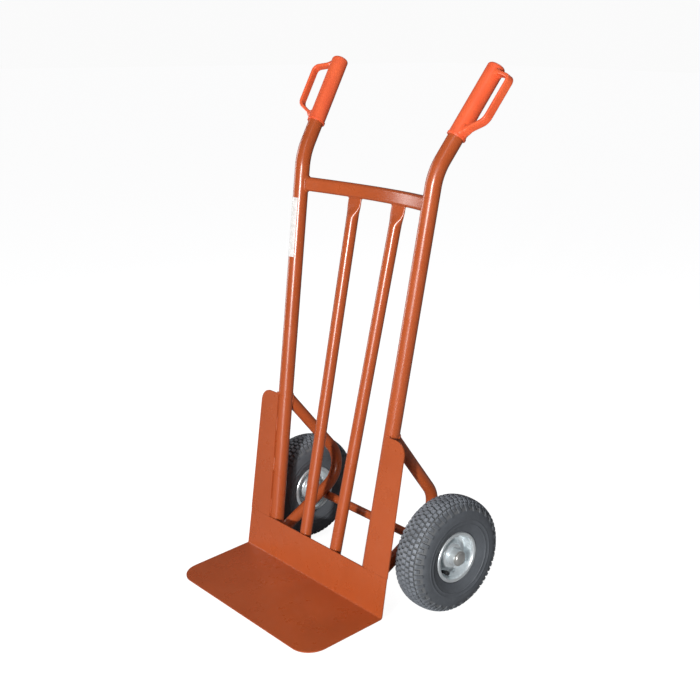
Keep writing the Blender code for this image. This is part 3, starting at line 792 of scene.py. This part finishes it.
def saddle(origin, ahead, hint, section, side):
    """The joint line, in small even steps, where a tube's section carried along ahead meets the rail."""
    across, depth = square_to(ahead, hint)
    rail_at = rail_point(side, 0.5)
    rail_ahead = (rail_point(side, 0.6) - rail_at).normalized()
    ring = []
    for a, b in section:
        start = origin + across * a + depth * b - rail_at
        start_flat = start - rail_ahead * start.dot(rail_ahead)
        ahead_flat = ahead - rail_ahead * ahead.dot(rail_ahead)
        square = ahead_flat.length_squared
        half_b = start_flat.dot(ahead_flat)
        rest = start_flat.length_squared - RAIL_RADIUS * RAIL_RADIUS
        reach = (-half_b - math.sqrt(max(0.0, half_b * half_b - square * rest))) / square
        ring.append(start + ahead * reach + rail_at)
    line = []
    for start, end in zip(ring, ring[1:] + ring[:1]):
        steps = max(1, round((end - start).length / 0.0007))
        line += [start.lerp(end, step / steps) for step in range(steps)]
    return line


def weld_tube_ends(label, side):
    """All round the crossbar's end and the bracket's two ends, on the rail."""
    ends = crossbar_path()
    end, inner = (ends[0], ends[2]) if side < 0 else (ends[-1], ends[-3])
    ahead = (end - inner).normalized()
    bead(label + "_weld_crossbar", saddle(inner - ahead * 0.02, ahead, UP, crossbar_section(), side), 0.0026,
         11 + side, True)
    top, knee, foot = bracket_corners(side)
    section = oval(BRACKET_RADIUS, BRACKET_RADIUS, 48)
    for place, corner, seed in (("upper", top, 21), ("lower", foot, 31)):
        line = saddle(knee, (corner - knee).normalized(), ACROSS, section, side)
        bead(label + "_weld_bracket_" + place, line, 0.0022, seed + side, True)


def weld_ear(label, side):
    """Ear to rail: stitches down the ear's inner edge, a cap at its top and a long run behind it."""
    for index, (low, high, size) in enumerate(EAR_STITCHES):
        ends = [on_frame(side * (rail_x(up) + EAR_OUTBOARD - 0.0008), up, 0.0022) for up in (low, high)]
        bead(f"{label}_weld_ear_{index}", straight(*ends), size, 41 + side + index)
    cap_x = rail_x(EAR_TOP)
    ends = [on_frame(side * (cap_x + EAR_OUTBOARD - 0.0005), EAR_TOP - 0.0002, 0.0034),
            on_frame(side * (cap_x + 0.0125), EAR_TOP + 0.0004, 0.0044)]
    bead(label + "_weld_ear_top", straight(*ends), 0.0024, 51 + side)
    weld_rail_foot(label, side)
    ends = [on_frame(side * (rail_x(up) + 0.0115), up, SHEET + 0.0024) for up in EAR_BACK_RUN]
    bead(f"{label}_weld_ear_back", straight(*ends), 0.0022, 71 + side)


def weld_rail_foot(label, side):
    """Both sides of the rail's foot, on the strip's back."""
    for edge, way in EDGES:
        ends = [on_frame(side * rail_x(up) + way * 0.0086, up, SHEET + 0.0014) for up in RAIL_FOOT_RUN]
        bead(f"{label}_weld_rail_{edge}", straight(*ends), 0.0019, 61 + side + way)


def weld_centre_tube(label, side):
    """The centre tube's foot on the strip's back and its pressed top under the crossbar."""
    for edge, way in EDGES:
        x_at = side * CENTRE_FOOT_X + way * 0.0068
        ends = [on_frame(x_at, CENTRE_FOOT_UP + 0.001, SHEET + 0.001),
                on_frame(x_at + side * 0.0005, STRIP_HEIGHT - 0.001, SHEET + 0.001)]
        bead(f"{label}_weld_centre_foot_{edge}", straight(*ends), 0.0016, 81 + side + way)
    under = CROSSBAR_UP - CROSSBAR_HEIGHT / 2 - 0.0002
    for face, way in (("front", -1), ("back", 1)):
        behind = crossbar_behind(CENTRE_TOP_X) + way * CENTRE_FLAT_HALF_DEPTH
        ends = [on_frame(side * CENTRE_TOP_X + shift, under, behind)
                for shift in (-CENTRE_TOP_HALF, CENTRE_TOP_HALF)]
        bead(f"{label}_weld_centre_top_{face}", straight(*ends), 0.0015, 91 + side + way)


def weld_axle(label, side):
    """Two short beads between the axle and the bracket's lower leg."""
    _, knee, foot = bracket_corners(side)
    along = (foot - knee).normalized()
    share = (AXLE_CENTRE - knee).dot(along) / (foot - knee).dot(along)
    x_near = mix(knee.x, foot.x, share)
    leg = Vector((x_near, knee.y, knee.z)) + Vector((0, along.y, along.z)) * (
        (AXLE_CENTRE.yz - knee.yz).dot(along.yz) / along.yz.length_squared)
    middle = Vector((x_near, AXLE_CENTRE.y, AXLE_CENTRE.z))
    towards = (leg - middle).normalized()
    touch = middle + towards * AXLE_RADIUS
    flank = ACROSS.cross(towards)
    for index, way in enumerate((-1, 1)):
        centre = touch + flank * (way * 0.0042) + towards * 0.0004
        half = ACROSS * AXLE_BEAD_HALF
        bead(f"{label}_weld_axle_{index}", straight(centre - half, centre + half), 0.0023, 101 + side + index)


def make_welds():
    for label, side in SIDES:
        weld_tube_ends(label, side)
        weld_ear(label, side)
        weld_centre_tube(label, side)
        weld_axle(label, side)


# ---- grips ------------------------------------------------------------------------------------------------

DOME_INSET = 0.0080
DOME_RISE = 0.0066
END_PLUG = 0.004
GUARD_STUB = GRIP_RADIUS + 0.002
GUARD_ROOT = 0.006  # how far below its stub each foot of the guard starts
GUARD_STEP = 0.004
GUARD_FLARE = 0.0065
GUARD_FLARE_REACH = 0.013
GUARD_CORNER = 0.0022
SKIN_DEPTH = 0.0010  # how deep the guard's feet sink under the sleeve's skin


def grip_outline():
    """Closed sleeve: ringed collar, straight barrel and a domed end with a shallow dish."""
    bore = RAIL_RADIUS + GAP
    collar = [(0, bore), (0, GRIP_COLLAR_RADIUS - 0.0003), (0.0016, GRIP_COLLAR_RADIUS),
              (0.0020, GRIP_COLLAR_RADIUS - 0.0009), (0.0027, GRIP_COLLAR_RADIUS - 0.0009),
              (0.0031, GRIP_COLLAR_RADIUS), (0.0046, GRIP_COLLAR_RADIUS),
              (0.0050, GRIP_COLLAR_RADIUS - 0.0010), (0.0060, GRIP_COLLAR_RADIUS - 0.0010),
              (0.0064, GRIP_RADIUS + 0.0004), (0.0080, GRIP_RADIUS)]
    dome = []
    for step in range(11):
        angle = 0.5 * math.pi * step / 10
        radius = GRIP_RADIUS - GAP - DOME_INSET * (1 - math.cos(angle))
        dome.append((GRIP_LENGTH - DOME_INSET + DOME_RISE * math.sin(angle), radius))
    end = [(GRIP_LENGTH - 0.0009, 0.0080), (GRIP_LENGTH - 0.0002, 0.0040), (GRIP_LENGTH, 0),
           (GRIP_LENGTH - END_PLUG, 0), (GRIP_LENGTH - END_PLUG, bore)]
    return collar + dome + end


def guard_frame(side):
    """The grip's foot, and the directions along it, out to the guard and across the guard's strap."""
    ahead = handle_direction(side)
    base = kink_point(side) + ahead * (HANDLE_LENGTH - GRIP_LENGTH)
    outward = square_to(ahead, ACROSS * side)[0]
    square = ahead.cross(outward) * -side
    out = outward * math.cos(GUARD_TURN) + square * math.sin(GUARD_TURN)
    return base, ahead, out, ahead.cross(out)


def guard_path(base, ahead, out):
    """Middle line of the guard's strap, from foot to foot in small steps."""
    corners = [(GUARD_LOW - 0.002, GUARD_STUB - GUARD_ROOT), (GUARD_LOW - 0.001, GUARD_STUB),
               (GUARD_LOW_CORNER, GUARD_OUT), (GUARD_HIGH_CORNER, GUARD_OUT), (GUARD_HIGH, GUARD_STUB),
               (GUARD_HIGH + 0.0005, GUARD_STUB - GUARD_ROOT)]
    flat = fillet(corners, [0, 0.006, 0.020, 0.013, 0.008, 0], 12, closed=False)
    path = [base + ahead * along + out * off for along, off in flat]
    fine = []
    for start, end in zip(path, path[1:]):
        steps = max(1, round((end - start).length / GUARD_STEP))
        fine += [start.lerp(end, step / steps) for step in range(steps)]
    return fine + [path[-1]]


def make_grips():
    for label, side in SIDES:
        base, ahead, out, lateral = guard_frame(side)
        sleeve = turned(grip_outline(), base, ahead, 64)
        piece(label + "_grip_sleeve", sleeve, "frame", grip_plastic, (label + "_grip",), 40)
        path = guard_path(base, ahead, out)

        def section_at(index):
            height = (path[index] - base).dot(out) - GRIP_RADIUS
            high = (path[index] - base).dot(ahead) > 0.5 * GRIP_LENGTH
            grow = GUARD_FLARE * max(0.0, 1 - height / GUARD_FLARE_REACH) ** 2
            half_wide = GUARD_HALF_WIDTH + grow * 0.3
            half_thick = GUARD_HALF_THICKNESS + grow * (0.45 if high else 1.0)
            corners = [(half_wide, -half_thick), (half_wide, half_thick), (-half_wide, half_thick),
                       (-half_wide, -half_thick)]
            return fillet(corners, GUARD_CORNER + 0.5 * grow, 4)

        guard = sweep(path, lateral, section_at)
        made = piece(label + "_grip_guard", guard, "frame", grip_plastic, sharp=40)
        sunk = GRIP_RADIUS - SKIN_DEPTH
        for vertex in made.data.vertices:  # the feet sink under the sleeve's skin, never into its bore
            away = vertex.co - base
            flatwise = away - ahead * away.dot(ahead)
            if flatwise.length < sunk:
                vertex.co = base + ahead * away.dot(ahead) + flatwise.normalized() * sunk


# ---- wheels -----------------------------------------------------------------------------------------------

PITCHES = 62
COLUMNS = 12  # columns of the tread's grid in one pitch
LAND_COLUMNS = COLUMNS - 4
TREAD_DEPTH = 0.0042
TYRE_WALL = 0.006
TYRE_HALF_HEIGHT = 0.036
SHOULDER_FROM = 0.030
SHOULDER_SHARE = 0.62  # height of the shoulder blocks against the crown's
SHOULDER_SHORT = 0.0376  # every second shoulder block ends here
TREAD_EDGE = 0.0445
# tread rows: nearest and farthest reach from the crown's middle line, and which half pitch they start in
TREAD_ROWS = ((0.0, 0.0046, 0), (0.0074, 0.0146, 1), (0.0176, 0.0248, 0), (0.0280, 0.0434, 1))
# raised lines on the sidewall: nearest and farthest reach, and height
WALL_LINES = ((0.0645, 0.0668, 0.0006), (0.0735, 0.0758, 0.0007))


def tyre_section():
    """Bead to bead over the crown: (across, radius, distance from the crown's middle line)."""
    half_width = TYRE_HALF_WIDTH - 0.0004
    crown = WHEEL_RADIUS - TREAD_DEPTH
    bulge = []
    for step in range(121):
        angle = math.radians(-24 + 228 * step / 120)
        across = math.copysign(abs(math.cos(angle)) ** 0.82, math.cos(angle)) * half_width
        lift = math.copysign(abs(math.sin(angle)) ** 0.86, math.sin(angle))
        bulge.append((across, TYRE_MIDDLE_RADIUS + lift * (crown - TYRE_MIDDLE_RADIUS)))
    foot = [(0.0289, 0.0510), (0.0289, 0.0560), (0.0293, 0.0588), (0.0318, 0.0596), (0.0350, 0.0612),
            (0.0377, 0.0648), (0.0396, 0.0700)]
    raw = foot + bulge + [(-x, r) for x, r in foot[::-1]]
    run = [0.0]
    for start, end in zip(raw, raw[1:]):
        run.append(run[-1] + math.hypot(end[0] - start[0], end[1] - start[1]))
    centre = run[-1] / 2
    # stations on both sides of every edge of a block or raised line, and between them where it curves
    kept = [0.0, 0.0036, 0.0046, 0.0054, 0.0066, 0.0074, 0.0110, 0.0146, 0.0154, 0.0168, 0.0176, 0.0212,
            0.0248, 0.0256, 0.0272, 0.0280, 0.0330, 0.0375, 0.0383, 0.0425, 0.0434, 0.0460, 0.0500, 0.0540,
            0.0580, 0.0615, 0.0640, 0.0648, 0.0656, 0.0664, 0.0672, 0.0700, 0.0730, 0.0738, 0.0746, 0.0754,
            0.0762]
    kept = [t for t in kept if t < centre - 0.0110]
    kept += [centre - back for back in (0.0105, 0.0085, 0.0066, 0.0056, 0.0046, 0.0034, 0.0018, 0.0)]
    points = []
    for t in [-t for t in kept[:0:-1]] + kept:
        across = float(np.interp(centre + t, run, [spot[0] for spot in raw]))
        radius = float(np.interp(centre + t, run, [spot[1] for spot in raw]))
        points.append((across, radius, t))
    return points


def outward_slopes(section):
    """Unit directions (across, radius) that point out of the rubber at each point of the section."""
    slopes = []
    last = len(section) - 1
    for index in range(len(section)):
        a = section[max(index - 1, 0)]
        b = section[min(index + 1, last)]
        way = Vector((b[0] - a[0], b[1] - a[1])).normalized()
        slopes.append((-way.y, way.x))
    sign = 1 if slopes[len(section) // 2][1] > 0 else -1
    return [(sign * across, sign * radius) for across, radius in slopes]


def on_block(offset, column, side):
    """1 where a tread block stands at a distance from the crown's middle line and a column, else 0."""
    size = abs(offset)
    for near, far, half in TREAD_ROWS:
        if near - 1e-6 <= size <= far + 1e-6:
            shift = half * COLUMNS // 2 + (COLUMNS // 4 if offset * side < 0 and near > 0 else 0)
            short = near > 0.025 and (column // COLUMNS) % 2 and size > SHOULDER_SHORT
            return 0.0 if short or (column + shift) % COLUMNS >= LAND_COLUMNS else 1.0
    return 0.0


def rubber_height(offset, block):
    """How far the rubber stands proud of the plain section."""
    size = abs(offset)
    tall = TREAD_DEPTH * block
    if size > SHOULDER_FROM:
        tall *= SHOULDER_SHARE
    for near, far, height in WALL_LINES:
        if near < size < far:
            tall += height
    return tall


def make_tyre(label, side, centre):
    """Tread blocks and sidewall in one skin, with a plain inner wall that closes it at the beads."""
    out = ACROSS * side
    up = Vector((0, 0, 1))
    turn = out.cross(up)
    section = tyre_section()
    slopes = outward_slopes(section)
    inner_across = 1 - TYRE_WALL / TYRE_HALF_WIDTH
    inner_lift = 1 - TYRE_WALL / TYRE_HALF_HEIGHT
    shape = bmesh.new()
    groove, scuff, rings = [], [], []
    for column in range(PITCHES * COLUMNS):
        angle = 2 * math.pi * column / (PITCHES * COLUMNS)
        spoke = up * math.cos(angle) + turn * math.sin(angle)
        ring = []
        for (across, radius, offset), (slope_across, slope_radius) in zip(section, slopes):
            block = on_block(offset, column, side)
            tall = rubber_height(offset, block)
            x = across + slope_across * tall
            r = radius + slope_radius * tall
            ring.append(shape.verts.new(centre + out * x + spoke * r))
            groove.append(0.0 if block or abs(offset) > TREAD_EDGE else 1.0)
            # marks the crown's block tops, which the rubber paints lighter: partly scuffed rubber, partly a
            # painted highlight
            scuff.append(1.0 if block and abs(offset) < SHOULDER_FROM else 0.0)
        for across, radius, _ in section[::-3]:
            r = TYRE_MIDDLE_RADIUS + (radius - TYRE_MIDDLE_RADIUS) * inner_lift
            ring.append(shape.verts.new(centre + out * (across * inner_across) + spoke * r))
            groove.append(1.0)
            scuff.append(0.0)
        rings.append(ring)
    skin(shape, rings, loop=True)
    piece(label + "_tyre_treaded", shape, label + "_wheel", tyre_rubber,
          (label + "_tyre",), 38, {"groove": groove, "scuff": scuff})


def rim_outline():
    """One pressed half with a rolled lip, bead seat, deep dish and raised boss."""
    lip = RIM_LIP_RADIUS
    seat = RIM_SEAT_RADIUS
    web = GAP + RIM_SHEET
    face = [(RIM_HALF_WIDTH - 0.0030, lip), (RIM_HALF_WIDTH - 0.0002, lip),
            (RIM_HALF_WIDTH + 0.0015, lip - 0.0014), (RIM_HALF_WIDTH + 0.0012, seat - 0.0002),
            (RIM_HALF_WIDTH - 0.0040, seat - RIM_SHEET - 0.0004),
            (0.0060, seat - RIM_SHEET - 0.0006), (web, seat - 0.0085), (web, BOSS_RADIUS + 0.0045),
            (BOSS_OUT, BOSS_RADIUS - 0.0015), (BOSS_OUT, HUB_RADIUS + GAP)]
    back = [(BOSS_OUT - RIM_SHEET, HUB_RADIUS + GAP), (BOSS_OUT - RIM_SHEET, BOSS_RADIUS - 0.0035),
            (GAP, BOSS_RADIUS + 0.0028), (GAP, seat - 0.0060), (0.0050, seat - 0.0002),
            (RIM_HALF_WIDTH - 0.0045, seat), (RIM_HALF_WIDTH - 0.0018, seat + 0.0024)]
    radii = [0.0005, 0.0014, 0.0012, 0.0030, 0.006, 0.007, 0.007, 0.006, 0.0050, 0.0005,
             0.0005, 0.004, 0.005, 0.006, 0.005, 0.004, 0.002]
    return fillet(face + back, radii, 6)


def valve_way():
    """Which way from the axle the valve stands."""
    return Vector((0, math.cos(VALVE_ANGLE), math.sin(VALVE_ANGLE)))


def make_inner_tube(label, side, centre):
    """Tyre tube with its bent valve stem."""
    out = ACROSS * side
    ring = [(x, INNER_TUBE_RING + y) for x, y in oval(INNER_TUBE_RADIUS, INNER_TUBE_RADIUS, 24)]
    shape = turned(ring, centre, out, 64)
    way = valve_way()
    stem = [centre + out * VALVE_OUT + way * (INNER_TUBE_RING - 0.020),
            centre + out * VALVE_OUT + way * VALVE_BEND_AT,
            centre + out * VALVE_END_OUT + way * VALVE_BEND_AT]
    path = rounded_path(stem, 0.006, 10)
    sweep(path, out.cross(way), lambda index: oval(VALVE_RADIUS, VALVE_RADIUS, 20), shape)
    piece(label + "_tube_and_valve", shape, label + "_wheel", tube_rubber,
          (label + "_inner_tube",), 40)


def make_valve_cap(label, side, centre):
    """Ribbed cap screwed on the valve."""
    out = ACROSS * side
    length, radius, bore = VALVE_CAP_LENGTH, VALVE_CAP_RADIUS, VALVE_RADIUS + GAP
    outline = fillet([(0, bore), (0, radius), (length, radius), (length, 0), (0.7 * length, 0),
                      (0.7 * length, bore)], [0.0003, 0.0005, 0.0012, 0, 0, 0], 4)
    origin = centre + out * (VALVE_END_OUT - 0.6 * length) + valve_way() * VALVE_BEND_AT
    shape = turned(outline, origin, out, 48)
    up = Vector((0, 0, 1))
    for vertex in shape.verts:
        away = vertex.co - origin
        along = away.dot(out)
        flatwise = away - out * along
        if flatwise.length > 0.92 * radius and 0.0008 < along < length - 0.0014:
            angle = math.atan2(flatwise.dot(up), flatwise.dot(out.cross(up)))
            rib = 0.5 - 0.5 * math.cos(VALVE_CAP_RIBS * angle)
            vertex.co -= flatwise.normalized() * (VALVE_CAP_RIB_DEPTH * rib)
    piece(label + "_valve_cap_ribbed", shape, label + "_wheel", valve_plastic,
          (label + "_valve_cap",), 30)


def make_wheel(label, side):
    """Tyre, inner tube, valve cap, both rim halves and the hub; the bearings keep their CAD shape."""
    out = ACROSS * side
    centre = AXLE_CENTRE + out * WHEEL_X
    body = label + "_wheel"
    make_tyre(label, side, centre)
    make_inner_tube(label, side, centre)
    make_valve_cap(label, side, centre)
    for place, way in (("outer", out), ("inner", -out)):
        piece(f"{label}_rim_{place}_pressing", turned(rim_outline(), centre, way, 128), body, rim_zinc,
              (f"{label}_rim_{place}_half",), 32)
    hub = fillet([(-HUB_HALF_LENGTH, HUB_BORE_RADIUS), (-HUB_HALF_LENGTH, HUB_RADIUS),
                  (HUB_HALF_LENGTH, HUB_RADIUS), (HUB_HALF_LENGTH, HUB_BORE_RADIUS)], 0.0005, 3)
    piece(label + "_hub_sleeve", turned(hub, centre, out, 72), body, rim_zinc,
          (label + "_hub_tube",), 32)
    for place in ("inner", "outer"):
        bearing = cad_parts[label + "_" + place + "_bearing"]
        bearing.data.materials.clear()
        bearing.data.materials.append(bearing_steel)


def make_axle_fittings(label, side):
    """Washers on both sides of the hub, the stop collar inboard and the push-on cap on the axle's end."""
    out = ACROSS * side
    centre = AXLE_CENTRE + out * WHEEL_X
    bore = AXLE_RADIUS + GAP
    outer = HUB_HALF_LENGTH + FITTING_GAP
    inner = -outer - WASHER_THICKNESS
    for place, start in (("outer", outer), ("inner", inner)):
        end = start + WASHER_THICKNESS
        ring = fillet([(start, bore), (start, WASHER_RADIUS), (end, WASHER_RADIUS), (end, bore)], 0.0003, 3)
        piece(f"{label}_{place}_washer_ring", turned(ring, centre, out, 64), "frame", fitting_zinc,
              (f"{label}_{place}_washer",), 30)
    end = inner - FITTING_GAP
    ring = fillet([(end - COLLAR_WIDTH, bore), (end - COLLAR_WIDTH, COLLAR_RADIUS), (end, COLLAR_RADIUS),
                   (end, bore)], 0.0008, 4)
    piece(label + "_stop_collar", turned(ring, centre, out, 64), "frame", frame_paint,
          (label + "_axle_collar",), 30)
    start = outer + WASHER_THICKNESS + FITTING_GAP
    dome = [(start, bore), (start, CAP_RADIUS)]
    for step in range(1, 13):
        angle = 0.5 * math.pi * step / 12
        dome.append((start + CAP_SKIRT + (CAP_HEIGHT - CAP_SKIRT) * math.sin(angle),
                     CAP_RADIUS * math.cos(angle) if step < 12 else 0))
    dome += [(start + CAP_HEIGHT - 0.0009, 0), (start + 0.0030, bore)]
    piece(label + "_cap_dome", turned(dome, centre, out, 64), "frame", fitting_zinc,
          (label + "_axle_cap",), 30)


# ---- label ------------------------------------------------------------------------------------------------

LABEL_LOW = 0.705
LABEL_HIGH = 0.838
LABEL_TURN_START = 56
LABEL_TURN = 112
LABEL_LIFT = 0.00006
LABEL_THICKNESS = 0.00022


def make_label():
    """Blank label wrapped part of the way round the left rail."""
    around = [math.radians(LABEL_TURN_START + LABEL_TURN * step / 20) for step in range(21)]
    shape = bmesh.new()
    layers = []
    for layer in (0.0, LABEL_THICKNESS):
        reach = RAIL_RADIUS + LABEL_LIFT + layer
        rings = []
        for step in range(25):
            spot = rail_point(-1, mix(LABEL_LOW, LABEL_HIGH, step / 24))
            rings.append([shape.verts.new(spot + (ACROSS * math.cos(a) + BEHIND * -math.sin(a)) * reach)
                          for a in around])
        layers.append(rings)
    borders = []
    for rings in layers:
        skin(shape, rings, closed_ring=False)
        right_edge = [ring[-1] for ring in rings[1:]]
        left_edge = [ring[0] for ring in rings[-2:0:-1]]
        borders.append(rings[0] + right_edge + rings[-1][-2::-1] + left_edge)
    skin(shape, borders)
    piece("blank_label", shape, "frame", label_vinyl)


make_toe_plate()
make_ears()
make_rails()
make_crossbar()
make_centre_tubes()
make_brackets()
make_axle()
make_welds()
make_grips()
for label, side in SIDES:
    make_wheel(label, side)
    make_axle_fittings(label, side)
make_label()


# ---- floor, light and camera ------------------------------------------------------------------------------

FLOOR_REACH = 30.0
FLOOR_DROP = 0.0004
AIM = Vector((0, 0, 0.5))  # the lights point at the truck's middle
CAMERA_PLACE = (1.8809, -1.58515, 1.2227)
CAMERA_YAW = math.radians(52.429)
CAMERA_PITCH = math.radians(16.7814)
CAMERA_ROLL = math.radians(0.5534)
SENSOR_WIDTH = 36
LENS_LENGTH = 60.459706
LENS_SHIFT = (0.0951227, 0.0437033)


def make_floor():
    """Pale floor that lights the truck only faintly from below."""
    shape = bmesh.new()
    corners = [shape.verts.new((x * FLOOR_REACH, y * FLOOR_REACH, -FLOOR_DROP))
               for x, y in ((-1, -1), (1, -1), (1, 1), (-1, 1))]
    shape.faces.new(corners)
    mesh = bpy.data.meshes.new("studio_floor")
    shape.to_mesh(mesh)
    shape.free()
    floor = bpy.data.objects.new("studio_floor", mesh)
    bpy.context.scene.collection.objects.link(floor)
    pale = Finish("floor_pale", specular_ior_level=0.0, emission_strength=1.0)
    seen = pale.node("ShaderNodeLightPath", {}, {}, "Is Camera Ray")
    pale.feed(base_color=pale.blend(pale.noise(1.2), (0.34, 0.34, 0.34), (0.32, 0.32, 0.32)),
              emission_color=pale.blend(seen, (0.03, 0.03, 0.03), (0.94, 0.94, 0.94)),
              roughness=pale.span(pale.noise(5.0), 0.3, 0.7, 0.8, 0.9))
    mesh.materials.append(pale.material)


def soft_light(name, azimuth, elevation, distance, width, height, power):
    """A rectangular soft light aimed at the truck's middle; azimuth 0 is the load's side, 90 is +X."""
    a, e = math.radians(azimuth), math.radians(elevation)
    place = AIM + Vector((math.sin(a) * math.cos(e), -math.cos(a) * math.cos(e), math.sin(e))) * distance
    lamp = bpy.data.lights.new(name, "AREA")
    lamp.shape = "RECTANGLE"
    lamp.size = width
    lamp.size_y = height
    lamp.energy = power
    held = bpy.data.objects.new(name, lamp)
    held.location = place
    held.rotation_euler = (AIM - place).to_track_quat("-Z", "Y").to_euler()
    bpy.context.scene.collection.objects.link(held)


def make_world():
    """Bright studio: what the camera sees behind the floor is white, what lights the truck is softer."""
    world = bpy.data.worlds.new("studio")
    world.use_nodes = True
    bpy.context.scene.world = world
    tree = world.node_tree
    background = tree.nodes["Background"]
    path = tree.nodes.new("ShaderNodeLightPath")
    seen = tree.nodes.new("ShaderNodeMix")
    seen.data_type = "RGBA"
    seen.inputs[6].default_value = (0.085, 0.085, 0.092, 1)
    seen.inputs[7].default_value = (0.96, 0.96, 0.96, 1)
    tree.links.new(path.outputs["Is Camera Ray"], seen.inputs[0])
    tree.links.new(seen.outputs[2], background.inputs["Color"])
    background.inputs["Strength"].default_value = 1.0


def make_camera():
    yaw, pitch, roll = CAMERA_YAW, CAMERA_PITCH, CAMERA_ROLL
    ahead = Vector((-math.sin(yaw) * math.cos(pitch), math.cos(yaw) * math.cos(pitch), -math.sin(pitch)))
    level = Vector((math.cos(yaw), math.sin(yaw), 0))
    upright = level.cross(ahead)
    right = level * math.cos(roll) + upright * math.sin(roll)
    above = upright * math.cos(roll) - level * math.sin(roll)
    lens = bpy.data.cameras.new("studio_camera")
    lens.sensor_width = SENSOR_WIDTH
    lens.lens = LENS_LENGTH
    lens.shift_x, lens.shift_y = LENS_SHIFT
    lens.clip_end = 100
    camera = bpy.data.objects.new("studio_camera", lens)
    turn = Matrix((right, above, -ahead)).transposed().to_4x4()
    camera.matrix_world = Matrix.Translation(CAMERA_PLACE) @ turn
    bpy.context.scene.collection.objects.link(camera)
    bpy.context.scene.camera = camera


make_floor()
make_world()
soft_light("key_lamp", 33, 10, distance=4.0, width=0.16, height=0.16, power=152)
soft_light("tall_strip", 38, -2, distance=3.5, width=0.16, height=2.0, power=34)
soft_light("high_strip", 36, 47, distance=3.5, width=0.25, height=1.2, power=8)
soft_light("back_fill", 172, 55, distance=3.2, width=1.2, height=1.2, power=16)
soft_light("left_panel", -78, 8, distance=3.0, width=1.2, height=2.2, power=34)
soft_light("top_panel", -20, 80, distance=3.0, width=0.5, height=0.5, power=1.2)
make_camera()
bpy.context.scene.view_settings.view_transform = "Standard"
